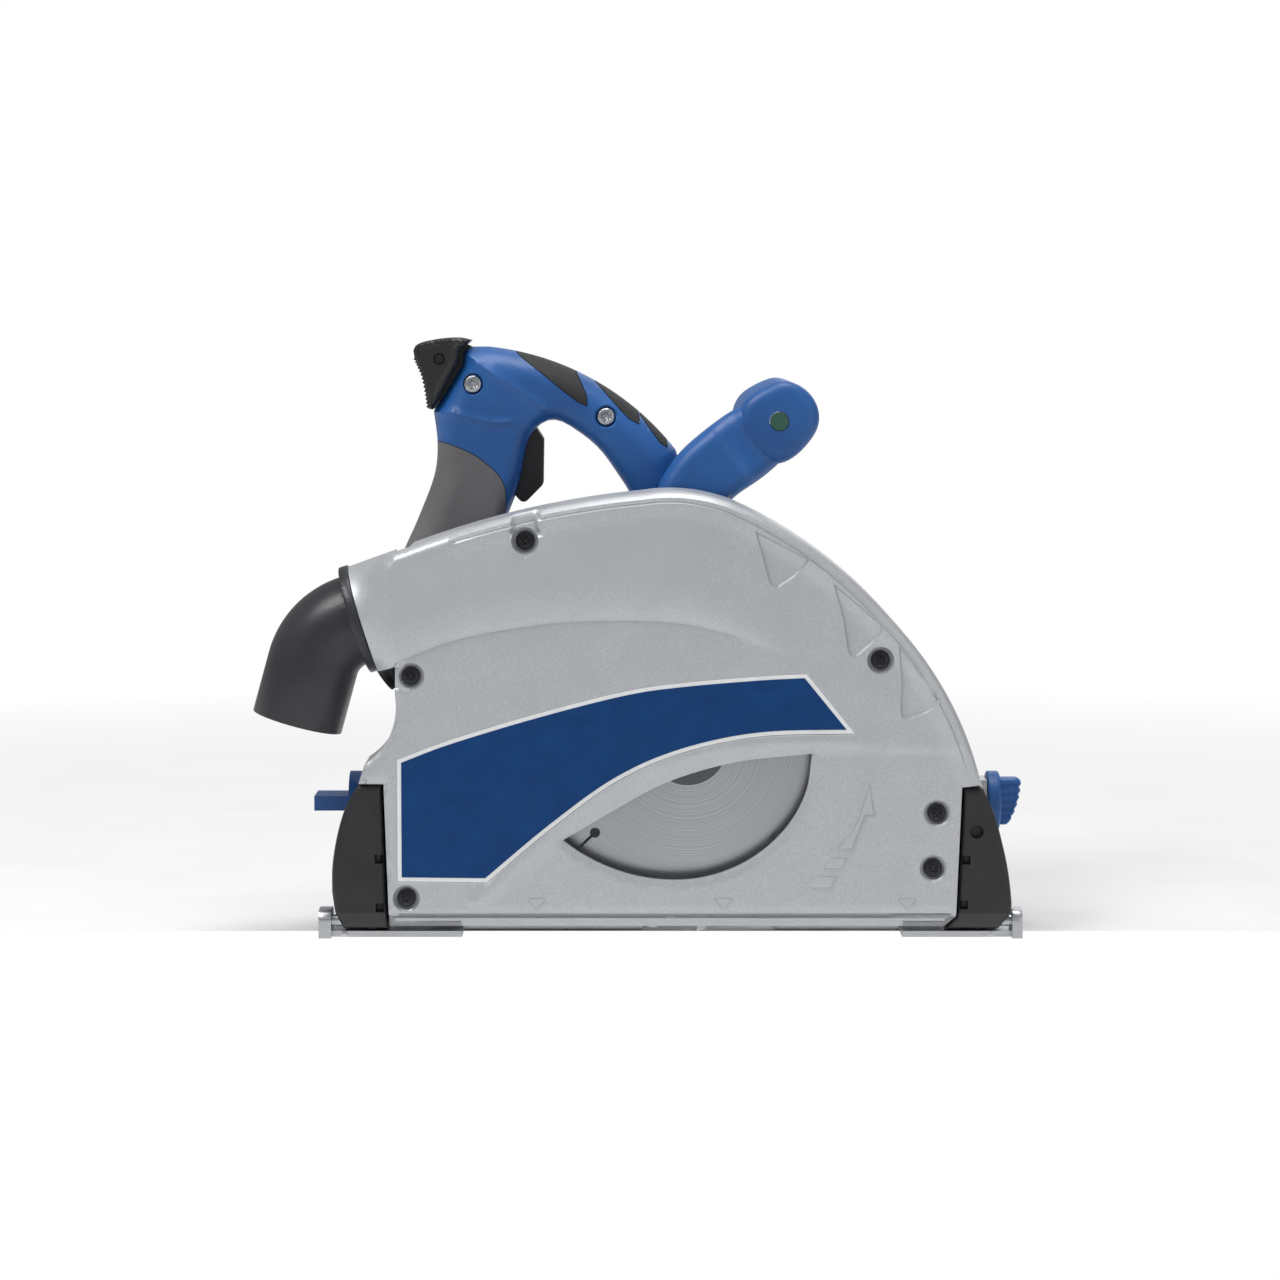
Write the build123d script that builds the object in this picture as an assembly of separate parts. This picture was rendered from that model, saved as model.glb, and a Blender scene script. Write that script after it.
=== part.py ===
from build123d import *
import math
import os

# Track plunge saw. +X is the cutting direction, the blade cover faces -Y and the motor +Y.
# The origin is on the sole, so z = 0 is the surface that the saw runs on. Millimetres and degrees.

# Blade
blade_diameter = 160.0
blade_bore = 20.0
blade_teeth = 24
blade_body = 1.8
blade_kerf = 2.4
blade_y = -76.0
blade_radius = blade_diameter / 2

# Plunge geometry: the head swings about a shaft at the rear of the guard
cut_depth = 55.0
raised_clearance = 1.7
pivot_x = -77.2
pivot_z = 38.4
swing_radius = 93.2
arbor_z = blade_radius - cut_depth
arbor_drop = math.degrees(math.asin((arbor_z - pivot_z) / swing_radius))
arbor_rise = math.degrees(math.asin((blade_radius + raised_clearance - pivot_z) / swing_radius))
plunge_travel = arbor_rise - arbor_drop
arbor_x = pivot_x + swing_radius * math.cos(math.radians(arbor_drop))
plunge_axis = Axis((pivot_x, 0, pivot_z), (0, 1, 0))

# Fits
running_fit = 0.05
face_gap = 0.3
loose_fit = 0.5

# Base plate
base_rear = -146.0
base_front = 140.0
base_near = -82.0
base_far = 70.0
sole_thickness = 2.6
rib_height = 8.0
rib_width = 3.0
notch_rear = -91.0
notch_front = 97.0
notch_far = -62.5
rail_y = -8.0
rail_groove_width = 12.4
rail_groove_height = 4.0
rail_wall = 2.4
adjuster_offset = 100.0
adjuster_radius = 8.0

# Bevel hinge and clamp
hinge_y = -80.0
hinge_z = 7.0
hinge_pin_radius = 2.5
bevel_travel = 45.0
clamp_y = -46.0
clamp_z = 54.0
clamp_bolt_radius = 3.0
post_thickness = 3.5
bracket_rear = -131.5
bracket_front = 128.0
bracket_thickness = 3.5
slot_rim = 5.0
knob_radius = 13.0
knob_disc = 5.5
knob_fin_length = 15.0
knob_fin_thickness = 6.3
rear_fin_half = 10.0
front_fin_half = 10.0

# Guard: the cover and the plate behind the blade
cover_face = -90.0
cover_wall = 2.5
guard_split = -62.0
guard_thickness = 3.5
cover_bottom = 5.1
cover_chamfer = 6.4
cover_boss_radius = 5.2
throat_screw_at = (-111.8, 112.7)
throat_wall = 6.7
cap_bottom = 3.6
cap_face = -88.5
cap_wall = 2.2

# Dust duct and elbow
mouth_x = -132.9
mouth_z = 135.8
duct_radius = 22.5
duct_wall = 2.3
duct_slope = 17.0
duct_length = 62.0
elbow_pipe_radius = 19.5
elbow_wall = 2.0
elbow_bend = 27.0
elbow_turn = 57.6
elbow_tail = 26.0
elbow_flange_radius = 23.5
elbow_flange = 4.0
elbow_spigot = 12.0

# Drive
gear_module = 1.0
gear_teeth = 40
pinion_teeth = 11
gear_width = 12.0
motor_rise = 110.7
spindle_radius = 6.0
motor_shaft_radius = 4.0
bearing_outer = 14.0
bearing_width = 8.0
motor_bearing_outer = 11.0
motor_bearing_width = 7.0
case_near = -57.5
case_far = -18.0
case_wall = 2.0
case_radius = 24.0
nose_near = -69.6
motor_radius = 38.0
motor_wall = 2.5
motor_far = 75.0
motor_cap_length = 20.0
flange_radius = 16.7
bolt_head_radius = 8.8

# Head arm and its shaft
shaft_radius = 7.0
hub_radius = 12.0
arm_far = -44.0
hub_far = -26.0
spring_wire = 1.1
spring_turns = 4.5
spring_leg = 16.0
anchor_radius = 4.0
anchor_reach = 28.0

# Web from the gear case to the front grip
web_x = 92.0
web_z = 113.0
web_end = 9.0
web_root = 30.0
web_near = -54.0
web_far = -45.5
arm_wall = 2.0
web_screws = [(web_x + 1, web_z + 1), (web_x - 16, web_z - 12)]

# Depth stop
stop_radius = 140.0
stop_width = 12.0
stop_travel = 30.0
stop_top = 8.2
stop_span = 8.0
stop_far = 8.2

# Riving knife
knife_thickness = 1.8
knife_width = 11.0
knife_shift = 7.0
knife_full_top = 65.0
knife_foot = (-1.209, -0.406)
knife_room = 2.0
duct_room = 1.0
guide_wall = 5.5

# Handle, front grip and controls
handle_y = -15.0
handle_width = 36.0
handle_wall = 3.0
handle_round = 0.1528 * handle_width
grip_skin = 1.6
grip_x = 127.8
grip_z = 112.7
grip_half_x = 17.8
grip_half_z = 16.2
grip_near = -48.0
grip_far = 62.0
screw_head = 4.0
screw_shank = 1.9
trigger_pin = (36.0, 181.0)
trigger_width = 15.6
lock_pin = (24.0, 221.0)
control_pin_radius = 2.0
gland_x = -80.0
gland_z = 122.0
gland_length = 24.0
gland_radius = 6.5
tongue_width = 12.0

plate_far = guard_split + guard_thickness
scale_thickness = case_near - plate_far - 0.2
handle_near = handle_y - handle_width / 2
gear_centres = gear_module * (gear_teeth + pinion_teeth) / 2
motor_x = arbor_x + gear_centres * math.cos(math.radians(motor_rise))
motor_z = arbor_z + gear_centres * math.sin(math.radians(motor_rise))
rest_arbor_x = pivot_x + swing_radius * math.cos(math.radians(arbor_rise))
rest_arbor_z = blade_radius + raised_clearance
knife_drop = cut_depth + raised_clearance
anchor_drop = anchor_radius + 1.6 * spring_wire + face_gap
# the throat and its screw stay behind the riving knife's back when the head is up
knife_foot_x = arbor_x + knife_foot[0] * blade_radius
knife_foot_z = arbor_z + knife_foot[1] * blade_radius
knife_lean = (knife_full_top - knife_foot_z) * knife_shift / knife_drop
knife_back = knife_foot_x - knife_lean - knife_width / 2 - knife_shift
throat_screw_x = min(throat_screw_at[0], knife_back - cover_boss_radius - knife_room)
throat_x = throat_screw_x - throat_wall
# and its top stays under the duct
duct_side = cover_face + duct_radius - blade_y - knife_thickness / 2
duct_half = math.sqrt(duct_radius ** 2 - duct_side ** 2) / math.cos(math.radians(duct_slope))
duct_under = mouth_z + (knife_back - mouth_x) * math.tan(math.radians(duct_slope)) - duct_half
knife_top = min(knife_full_top, duct_under - duct_room - knife_drop)
cover_screws_at = [
    (-63.3, 170.0), (throat_screw_x, throat_screw_at[1]), (-114.1, 18.0), (86.5, 119.5), (110.8, 54.4),
    (109.3, 30.8),
]
lock_x = motor_x - 44.0
lock_y = -51.0
lock_z = motor_z + 29.15
clamp_radius = math.hypot(clamp_y - hinge_y, clamp_z - hinge_z)
clamp_angle = math.degrees(math.atan2(clamp_z - hinge_z, clamp_y - hinge_y))


def box(x0, x1, y0, y1, z0, z1):
    """A box between two corners."""
    return Pos((x0 + x1) / 2, (y0 + y1) / 2, (z0 + z1) / 2) * Box(x1 - x0, y1 - y0, z1 - z0)


def rod_x(y, z, x0, x1, radius):
    """A cylinder along X."""
    return Pos((x0 + x1) / 2, y, z) * Rot(0, 90, 0) * Cylinder(radius, x1 - x0)


def rod_y(x, z, y0, y1, radius):
    """A cylinder along Y."""
    return Pos(x, (y0 + y1) / 2, z) * Rot(90, 0, 0) * Cylinder(radius, y1 - y0)


def rod_z(x, y, z0, z1, radius):
    """A cylinder along Z."""
    return Pos(x, y, (z0 + z1) / 2) * Cylinder(radius, z1 - z0)


def slab(sketch, y0, y1):
    """A drawing in X and Z, made solid from y0 to y1."""
    plane = Plane(origin=(0, y1, 0), x_dir=(1, 0, 0), z_dir=(0, -1, 0))
    return extrude(plane * sketch, amount=y1 - y0)


def polygon(*points):
    """A closed drawing through the points."""
    return make_face(Polyline(*points, close=True))


def arcs_through(direction, *points):
    """Arcs through the points, each one tangent to the one before."""
    edges = []
    for start, end in zip(points, points[1:]):
        arc = TangentArc(start, end, tangent=direction)
        edges.append(arc.edge())
        direction = arc % 1
    return edges


def hull(*discs):
    """The drawing that wraps round some discs, each given as x, z and radius."""
    edges = [edge for x, z, radius in discs for edge in (Pos(x, z) * Circle(radius)).edges()]
    return make_hull(edges)


def around_pivot(radius, angle):
    """A point at a radius and an angle about the plunge shaft, in the XZ plane."""
    turn = math.radians(angle)
    return (pivot_x + radius * math.cos(turn), pivot_z + radius * math.sin(turn))


def sector(inner, outer, start, end):
    """A ring sector about the plunge shaft."""
    middle = (start + end) / 2
    near = ThreePointArc(*[around_pivot(inner, a) for a in (start, middle, end)])
    far = ThreePointArc(*[around_pivot(outer, a) for a in (start, middle, end)])
    sides = [Line(near @ 0, far @ 0), Line(near @ 1, far @ 1)]
    return make_face([near, far] + sides)


def lifted(shape):
    """A piece of the head, drawn at full depth, swung up to its place at rest."""
    return shape.rotate(plunge_axis, -plunge_travel)


def lifted_point(x, z):
    """A point of the head, swung up in the same way."""
    radius = math.hypot(x - pivot_x, z - pivot_z)
    angle = math.degrees(math.atan2(z - pivot_z, x - pivot_x))
    return around_pivot(radius, angle + plunge_travel)


def solids_of(shape):
    """The separate solids of a result, as one group."""
    found = shape.solids()
    if len(found) == 1:
        return found[0]
    return Compound(children=list(found))


def screw_along_y(x, z, head_y, length, head=screw_head, shank=screw_shank):
    """A pan-head screw whose head is on the -Y side, with a cross recess."""
    body = rod_y(x, z, head_y, head_y + 2.2, head) + rod_y(x, z, head_y + 2.2, head_y + length, shank)
    cross = box(x - 2.2, x + 2.2, head_y, head_y + 1.2, z - 0.45, z + 0.45)
    cross += box(x - 0.45, x + 0.45, head_y, head_y + 1.2, z - 2.2, z + 2.2)
    return body - cross


def gear(teeth, width, bore, phase, backlash=0.12):
    """A spur gear along Z with involute flanks, its first tooth at an angle of phase degrees."""
    pitch = gear_module * teeth / 2
    base = pitch * math.cos(math.radians(20))
    tip = pitch + 0.9 * gear_module
    root = pitch - 1.2 * gear_module
    lead = math.tan(math.radians(20)) - math.radians(20)
    half = math.pi / (2 * teeth) - backlash / (2 * pitch)

    def half_angle(radius):
        if radius <= base:
            return half + lead - 0.15 * (base - radius) / pitch
        turn = math.acos(base / radius)
        return half + lead - (math.tan(turn) - turn)

    levels = [root, (root + pitch) / 2, pitch, (pitch + tip) / 2, tip]
    points = []
    for tooth in range(teeth):
        centre = math.radians(phase) + tooth * 2 * math.pi / teeth
        for radius in levels:
            angle = centre - half_angle(radius)
            points.append((radius * math.cos(angle), radius * math.sin(angle)))
        for radius in reversed(levels):
            angle = centre + half_angle(radius)
            points.append((radius * math.cos(angle), radius * math.sin(angle)))
    face = polygon(*points) - Circle(bore)
    return extrude(face, amount=width)


def bearing(outer, bore, width):
    """A ball bearing along Z, drawn as its two rings and its balls."""
    middle = (outer + bore) / 2
    ball = (outer - bore) * 0.27
    groove = Torus(middle, ball)
    low = width / 2
    inner_ring = Cylinder(middle - ball * 0.45, width) - Cylinder(bore, width) - groove
    outer_ring = Cylinder(outer, width) - Cylinder(middle + ball * 0.45, width) - groove
    count = int(2 * math.pi * middle / (ball * 2.9))
    balls = [
        Rot(0, 0, 360 * i / count) * Pos(middle, 0, 0) * Sphere(ball - 0.03)
        for i in range(count)
    ]
    rings = [Pos(0, 0, low) * inner_ring, Pos(0, 0, low) * outer_ring]
    return rings + [Pos(0, 0, low) * one for one in balls]


def along_y(x, z, y0, shape):
    """Stands a piece that was drawn upward from z = 0 along +Y from y0."""
    return Pos(x, y0, z) * Rot(-90, 0, 0) * shape


def cover_outline():
    """The side view of the guard, without the duct."""
    top = [
        ThreePointArc((-112, 167.5), (-65, 181.7), (-14, 190)),
        ThreePointArc((-14, 190), (8, 190.2), (24.1, 186)),
        ThreePointArc((24.1, 186), (61.2, 164.5), (92.0, 135.8)),
        ThreePointArc((92.0, 135.8), (114.3, 105.4), (129.5, 66.4)),
    ]
    waist = ThreePointArc((-131.6, 75.0), (throat_x - 2.0, 88.0), (throat_x, 104.0))
    front = Polyline((129.5, 66.4), (121.4, 65.4), (119.2, 9.9), (114.8, cover_bottom))
    sole = Line((114.8, cover_bottom), (-121.5, cover_bottom))
    rear = Polyline((-121.5, cover_bottom), (-123.6, 66.8), (-134.2, 66.8), (-131.6, 75.0))
    throat = Polyline((throat_x, 104.0), (throat_x + 0.5, 140.0), (-112, 167.5))
    lines = top + [front, sole, rear, waist, throat]
    return make_face([edge for line in lines for edge in line.edges()])


def window_outline():
    """The lens-shaped sight opening in the cover."""
    upper = Spline((-47.7, 42.8), (-27.4, 54.8), (-4.2, 67.3), (25.0, 76.0), (57.8, 79.7))
    lower = Spline((57.8, 79.7), (54.9, 62.1), (45.1, 45.8), (12.7, 27.0), (-21.1, 28.7), (-47.7, 42.8))
    return make_face(upper.edges() + lower.edges())


def duct(radius, start, length):
    """A cylinder along the dust duct, from a distance behind its mouth plane."""
    turn = math.radians(duct_slope)
    centre_y = cover_face + duct_radius
    plane = Plane(
        origin=(mouth_x + start * math.cos(turn), centre_y, mouth_z + start * math.sin(turn)),
        x_dir=(0, 1, 0),
        z_dir=(math.cos(turn), 0, math.sin(turn)),
    )
    return extrude(plane * Circle(radius), amount=length)


def near_half():
    """Everything on the cover's side of the guard joint."""
    return box(-200, 200, -200, guard_split, -20, 300)


def guard_parts():
    """The guard: cover, plate, screws, end caps, sign panel and the duct's two halves."""
    outline = cover_outline()
    duct_outer = duct(duct_radius, 0, duct_length)
    duct_bore = duct(duct_radius - duct_wall, -1, duct_length + 1)
    cavity = slab(offset(outline, amount=-cover_wall), cover_face + cover_wall, guard_split)
    open_top = cover_bottom + cover_wall
    open_sole = box(notch_rear, notch_front, cover_face + cover_wall, guard_split, 0, open_top)
    shell = slab(outline, cover_face, guard_split)
    low_edge = shell.edges().filter_by(Axis.X).sort_by(Axis.Z)[:2].sort_by(Axis.Y)[0]
    shell = chamfer(low_edge, cover_chamfer)
    depth = cover_face + cover_wall
    bosses = [rod_y(x, z, depth, guard_split, cover_boss_radius) for x, z in cover_screws_at]
    cover = shell - cavity - open_sole
    for boss in bosses:
        cover += boss & shell
    cover += duct_outer & near_half()
    cover -= duct_bore
    cover -= slab(window_outline(), cover_face - 1, cover_face + cover_wall + 1)
    for x, z in cover_screws_at:
        cover -= rod_y(x, z, cover_face - 3, cover_face + 2.4, screw_head + 0.9)
        cover -= rod_y(x, z, cover_face + 2.3, guard_split, screw_shank + 0.1)

    plate = slab(outline, guard_split, plate_far)
    plate += duct_outer - near_half() - slab(outline, guard_split, 0)
    plate += (duct_outer & slab(outline, plate_far, 0))
    plate -= duct(duct_radius - duct_wall, -1, duct_length - 2)
    swing = CenterArc((pivot_x, pivot_z), swing_radius, arbor_drop, plunge_travel)
    plate -= slab(SlotArc(swing, 2 * (bearing_outer + 4.5)), guard_split - 1, plate_far + 1)
    plate -= rod_y(pivot_x, pivot_z, guard_split - 1, plate_far + 1, shaft_radius)
    for x, z in cover_screws_at:
        plate -= rod_y(x, z, guard_split - 1, plate_far + 1, screw_shank + running_fit)
    # spring anchor behind the plunge shaft
    anchor_z = pivot_z - anchor_drop
    plate += rod_y(pivot_x - anchor_reach, anchor_z, plate_far - 1, hub_far - 2, anchor_radius)
    # bevel brackets with their arc slots
    for side, x0 in ((-1, bracket_rear), (1, bracket_front)):
        plate += bevel_bracket(x0, side)

    screw_length = guard_split + 3.3 - cover_face
    screws = [screw_along_y(x, z, cover_face + 0.2, screw_length) for x, z in cover_screws_at]

    panel_face = cover_face - 0.4
    panel = slab(sign_outline(), panel_face, cover_face)
    parts = {
        "blade_cover": cover,
        "guard_housing": plate,
        "cover_screws": Compound(children=screws),
        "sign_panel": panel,
    }
    parts.update(end_caps())
    return parts


def sign_outline():
    """The plain blue panel on the cover."""
    top = ThreePointArc((-117.7, 76.3), (-30.0, 102.2), (57.0, 113.5))
    low = ThreePointArc((53.2, 88.3), (-16.0, 73.0), (-80.2, 25.7))
    sides = [
        Line((57.0, 113.5), (75.5, 88.3)),
        Line((75.5, 88.3), (53.2, 88.3)),
        Line((-80.2, 25.7), (-117.3, 25.3)),
        Line((-117.3, 25.3), (-117.7, 76.3)),
    ]
    return make_face(top.edges() + low.edges() + sides)


def cross_slab(points, x0, x1):
    """A drawing across the saw, given as points in Y and Z, made solid from x0 to x1."""
    plane = Plane(origin=(x0, 0, 0), x_dir=(0, 1, 0), z_dir=(1, 0, 0))
    return extrude(plane * polygon(*points), amount=x1 - x0)


def ring_slot(x0, x1, half_width, start, end):
    """The clamp's arc slot about the bevel hinge, made solid from x0 to x1."""
    plane = Plane(origin=(x0, hinge_y, hinge_z), x_dir=(0, 1, 0), z_dir=(1, 0, 0))
    arc = CenterArc((0, 0), clamp_radius, start, end - start)
    return extrude(plane * SlotArc(arc, 2 * half_width), amount=x1 - x0)


def bevel_bracket(x0, side):
    """The tilting plate at one end of the guard, from the hinge pin to the arc slot."""
    x1 = x0 + bracket_thickness
    slot_half = clamp_bolt_radius + 0.3
    low = clamp_angle - bevel_travel
    points = [
        (-85.5, 14), (-85.5, 61), (plate_far, 66), (-50, 66), (-16, 22), (-16, 8.4), (-60, 7.6),
        (-74, 3.6), (-81, 3.6),
    ]
    plate = cross_slab(points, x0, x1)
    plate += ring_slot(x0, x1, slot_half + slot_rim, low, clamp_angle) & box(x0, x1, -90, 20, rib_height, 90)
    plate -= ring_slot(x0 - 1, x1 + 1, slot_half, low, clamp_angle)
    plate -= rod_x(hinge_y, hinge_z, x0 - 1, x1 + 1, hinge_pin_radius + running_fit)
    # foot that joins the bracket to the guard plate
    reach = (x0, -120.0) if side < 0 else (118.0, x1)
    plate += box(reach[0], reach[1], guard_split, plate_far, 12, 62)
    return plate


def end_caps():
    """The two black plastic caps over the bevel hinges."""
    rear_shape = polygon(
        (-134.0, 66.3), (-124.4, 66.0), (-122.4, cap_bottom), (-141.8, cap_bottom),
        (-144.7, 11.6), (-146.0, 22.3), (-145.6, 33.4), (-143.5, 45.0), (-140.1, 56.6),
    )
    front_shape = polygon(
        (122.2, 64.7), (130.4, 65.2), (135.4, 54.4), (138.8, 42.4), (141.4, 30.4), (143.0, 18.4),
        (143.0, 11.1), (138.0, cap_bottom), (115.4, cap_bottom), (120.0, 9.4),
    )
    parts = {}
    for name, shape, x_post in (("rear_end_cap", rear_shape, -1), ("front_end_cap", front_shape, 1)):
        body = slab(shape, cap_face, guard_split - face_gap)
        low = body.edges().filter_by(Axis.X).sort_by(Axis.Z)[:2].sort_by(Axis.Y)[0]
        body = chamfer(low, cover_chamfer)
        inside = offset(shape, amount=-cap_wall, kind=Kind.INTERSECTION)
        body -= slab(inside, cap_face + cap_wall, guard_split)
        body -= rod_x(hinge_y, hinge_z, -200, 200, hinge_pin_radius + loose_fit)
        bracket = bracket_rear if x_post < 0 else bracket_front
        body -= box(bracket - face_gap, bracket + bracket_thickness + face_gap, cap_face + cap_wall, 0, 0, 80)
        parts[name] = body
    return parts


def base_parts():
    """The base plate, its posts and rails, and what is bolted to it."""
    plate = box(base_rear, base_front, base_near, base_far, 0, sole_thickness)
    plate = fillet(plate.edges().filter_by(Axis.Z), 6)
    # perimeter rib on the motor side and the two ends
    inner_far = base_far - 2
    plate += box(base_rear + 8, base_front - 8, inner_far - rib_width, inner_far, 0, rib_height)
    for x in (base_rear + 26, base_front - 22 - rib_width):
        plate += box(x, x + rib_width, -24, inner_far, 0, rib_height)
    # hat section over the rail groove
    hat_half = rail_groove_width / 2 + rail_wall
    hat_top = rail_groove_height + rail_wall
    plate += box(base_rear, base_front, rail_y - hat_half, rail_y + hat_half, 0, hat_top)
    plate -= box(
        base_rear - 1, base_front + 1, rail_y - rail_groove_width / 2, rail_y + rail_groove_width / 2,
        -1, rail_groove_height,
    )
    # open notch for the blade and window for the gear case
    plate -= box(notch_rear, notch_front, base_near - 1, notch_far, -1, 20)
    plate -= box(-14, 44, notch_far - 1, rail_y - hat_half - 1, -1, 20)
    # hinge ears and clamp posts
    for side in (-1, 1):
        ear_x = (-152.0, -146.6) if side < 0 else (143.6, 148.0)
        foot_x = (-152.0, base_rear + 8) if side < 0 else (base_front - 8, 148.0)
        plate += box(foot_x[0], foot_x[1], -81.5, -70, 0, sole_thickness)
        ear = box(ear_x[0], ear_x[1], -86, -70, 0, 12)
        plate += fillet(ear.edges().filter_by(Axis.X).sort_by(Axis.Z)[-2:], 5)
        plate += clamp_post(side)
    plate -= rod_x(hinge_y, hinge_z, -200, 200, hinge_pin_radius)
    for side in (-1, 1):
        plate -= rod_z(side * adjuster_offset, rail_y, 0, 20, 3.0)

    pins = [
        rod_x(hinge_y, hinge_z, -152.0, bracket_rear + bracket_thickness + 1, hinge_pin_radius),
        rod_x(hinge_y, hinge_z, bracket_front - 1, 148.0, hinge_pin_radius),
    ]
    bolts = []
    for side in (-1, 1):
        inner = bracket_rear + bracket_thickness if side < 0 else bracket_front
        post = post_span(side)
        outer = post[0] - 9 if side < 0 else post[1] + 9
        head = (inner + 0.4, inner + 3.0) if side < 0 else (inner - 3.0, inner - 0.4)
        bolt = rod_x(clamp_y, clamp_z, min(outer, head[0]), max(outer, head[1]), clamp_bolt_radius)
        bolt += rod_x(clamp_y, clamp_z, head[0], head[1], 5.0)
        bolts.append(bolt)
    parts = {
        "base_plate": plate,
        "hinge_pins": Compound(children=pins),
        "clamp_bolts": Compound(children=bolts),
        "bevel_scale": bevel_scale(),
    }
    for name, side in (("rear_guide_adjuster", -1), ("front_guide_adjuster", 1)):
        parts[name] = guide_adjuster(side)
    for name, side in (("rear_bevel_knob", -1), ("front_bevel_knob", 1)):
        parts[name] = bevel_knob(side)
    return parts


def post_span(side):
    """Where the clamp post stands along X, just outside the tilting bracket."""
    if side < 0:
        return (bracket_rear - face_gap - post_thickness, bracket_rear - face_gap)
    start = bracket_front + bracket_thickness + face_gap
    return (start, start + post_thickness)


def clamp_post(side):
    """The upright at one end of the base that carries the bevel clamp."""
    x0, x1 = post_span(side)
    points = [(-58, 0), (-58, 50), (-54, 64), (-38, 64), (-26, 46), (-20, 0)]
    post = cross_slab(points, x0, x1)
    post -= rod_x(clamp_y, clamp_z, x0 - 1, x1 + 1, clamp_bolt_radius + running_fit)
    return post


def bevel_scale():
    """A thin graduated strip on the rear post."""
    x0, x1 = post_span(-1)
    return box(x0 - 0.8, x0, -50, -30, 14, 34)


def guide_adjuster(side):
    """A small cam with a lever that takes up play in the rail groove."""
    x = side * adjuster_offset
    top = rail_groove_height + rail_wall
    body = rod_z(x, rail_y, rail_groove_height + 0.2, top + 0.2, 3.0 - running_fit)
    body += rod_z(x, rail_y, top + 0.1, top + 5, adjuster_radius)
    tip = x - side * adjuster_radius * 2
    body += box(min(x, tip), max(x, tip), rail_y - 2.5, rail_y + 2.5, top + 0.1, top + 4)
    return body


def bevel_knob(side):
    """A wing knob on the clamp bolt, with one flat fin."""
    post = post_span(side)
    half = knob_fin_thickness / 2
    if side < 0:
        near = post[0] - 0.2
        disc = (near - knob_disc, near)
        fin = (disc[0] - knob_fin_length, disc[0] + 0.5)
        wide, high = rear_fin_half, half
    else:
        near = post[1] + 0.2
        disc = (near, near + knob_disc)
        fin = (disc[1] - 0.5, disc[1] + knob_fin_length - 5)
        wide, high = half, front_fin_half
    body = rod_x(clamp_y, clamp_z, disc[0], disc[1], knob_radius)
    body += box(fin[0], fin[1], clamp_y - wide, clamp_y + wide, clamp_z - high, clamp_z + high)
    hole_end = (disc[0] - 5, near + 1) if side < 0 else (near - 1, disc[1] + 5)
    body -= rod_x(clamp_y, clamp_z, hole_end[0], hole_end[1], clamp_bolt_radius + running_fit)
    return body


def dust_elbow():
    """The swivelling elbow: spigot, flange, bend and straight outlet."""
    turn = math.radians(duct_slope)
    centre_y = cover_face + duct_radius
    outward = Vector(-math.cos(turn), 0, -math.sin(turn))
    mouth = Vector(mouth_x, centre_y, mouth_z)
    down = Vector(math.sin(turn), 0, -math.cos(turn))
    end_turn = math.radians(duct_slope + elbow_turn)
    final = Vector(-math.cos(end_turn), 0, -math.sin(end_turn))
    start = mouth + outward * (elbow_flange + 0.2)
    centre = start + down * elbow_bend
    middle_turn = math.radians(duct_slope + elbow_turn / 2)
    middle = centre + Vector(-math.sin(middle_turn), 0, math.cos(middle_turn)) * elbow_bend
    bend_end = centre + Vector(-math.sin(end_turn), 0, math.cos(end_turn)) * elbow_bend
    bend = ThreePointArc(start, middle, bend_end)
    path = Wire([bend.edge(), Line(bend_end, bend_end + final * elbow_tail).edge()])
    plane = Plane(origin=start, x_dir=(0, 1, 0), z_dir=outward)
    outer = sweep(plane * Circle(elbow_pipe_radius), path=path)
    inner = sweep(plane * Circle(elbow_pipe_radius - elbow_wall), path=path)
    back = Plane(origin=start, x_dir=(0, 1, 0), z_dir=-outward)
    flange = extrude(back * Circle(elbow_flange_radius), amount=elbow_flange)
    spigot_radius = duct_radius - duct_wall - running_fit
    spigot = extrude(back * Circle(spigot_radius), amount=elbow_flange + 0.2 + elbow_spigot)
    bore = extrude(back * Circle(elbow_pipe_radius - elbow_wall), amount=elbow_flange + 0.2 + elbow_spigot)
    return outer + flange + spigot - inner - bore


def shaft_parts():
    """The plunge shaft, its circlip and the return spring round the arm's hub."""
    shaft = rod_y(pivot_x, pivot_z, guard_split, hub_far + 4, shaft_radius)
    shaft += rod_y(pivot_x, pivot_z, guard_split - 2.5, guard_split, shaft_radius + 3.5)
    clip_y = hub_far + face_gap
    clip = rod_y(pivot_x, pivot_z, clip_y, clip_y + 1.4, shaft_radius + 3)
    clip -= rod_y(pivot_x, pivot_z, clip_y, clip_y + 1.4, shaft_radius - 0.8)
    shaft -= rod_y(pivot_x, pivot_z, clip_y, clip_y + 1.4, shaft_radius + 1) - rod_y(
        pivot_x, pivot_z, clip_y, clip_y + 1.4, shaft_radius - 0.8
    )
    coil_radius = hub_radius + 1.2 + spring_wire
    pitch = 2 * spring_wire + 0.3
    height = pitch * spring_turns
    helix = Helix(pitch=pitch, height=height, radius=coil_radius)
    profile = Plane(origin=helix @ 0, z_dir=helix % 0) * Circle(spring_wire)
    coil = sweep(profile, path=helix, is_frenet=True)
    # each end turns outwards as a straight leg
    for end, sense in ((0, -1), (1, 1)):
        place = helix @ end
        outward = Vector(place.X, place.Y, 0).normalized()
        root = place - (helix % end) * sense * spring_wire / 2
        leg = Plane(origin=root, z_dir=outward) * Circle(spring_wire * 1.02)
        coil += extrude(leg, amount=spring_leg)
    spring = along_y(pivot_x, pivot_z, arm_far + 2.2, Rot(0, 0, 180) * coil)
    return {"plunge_shaft": shaft, "shaft_circlip": clip, "return_spring": spring}


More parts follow.
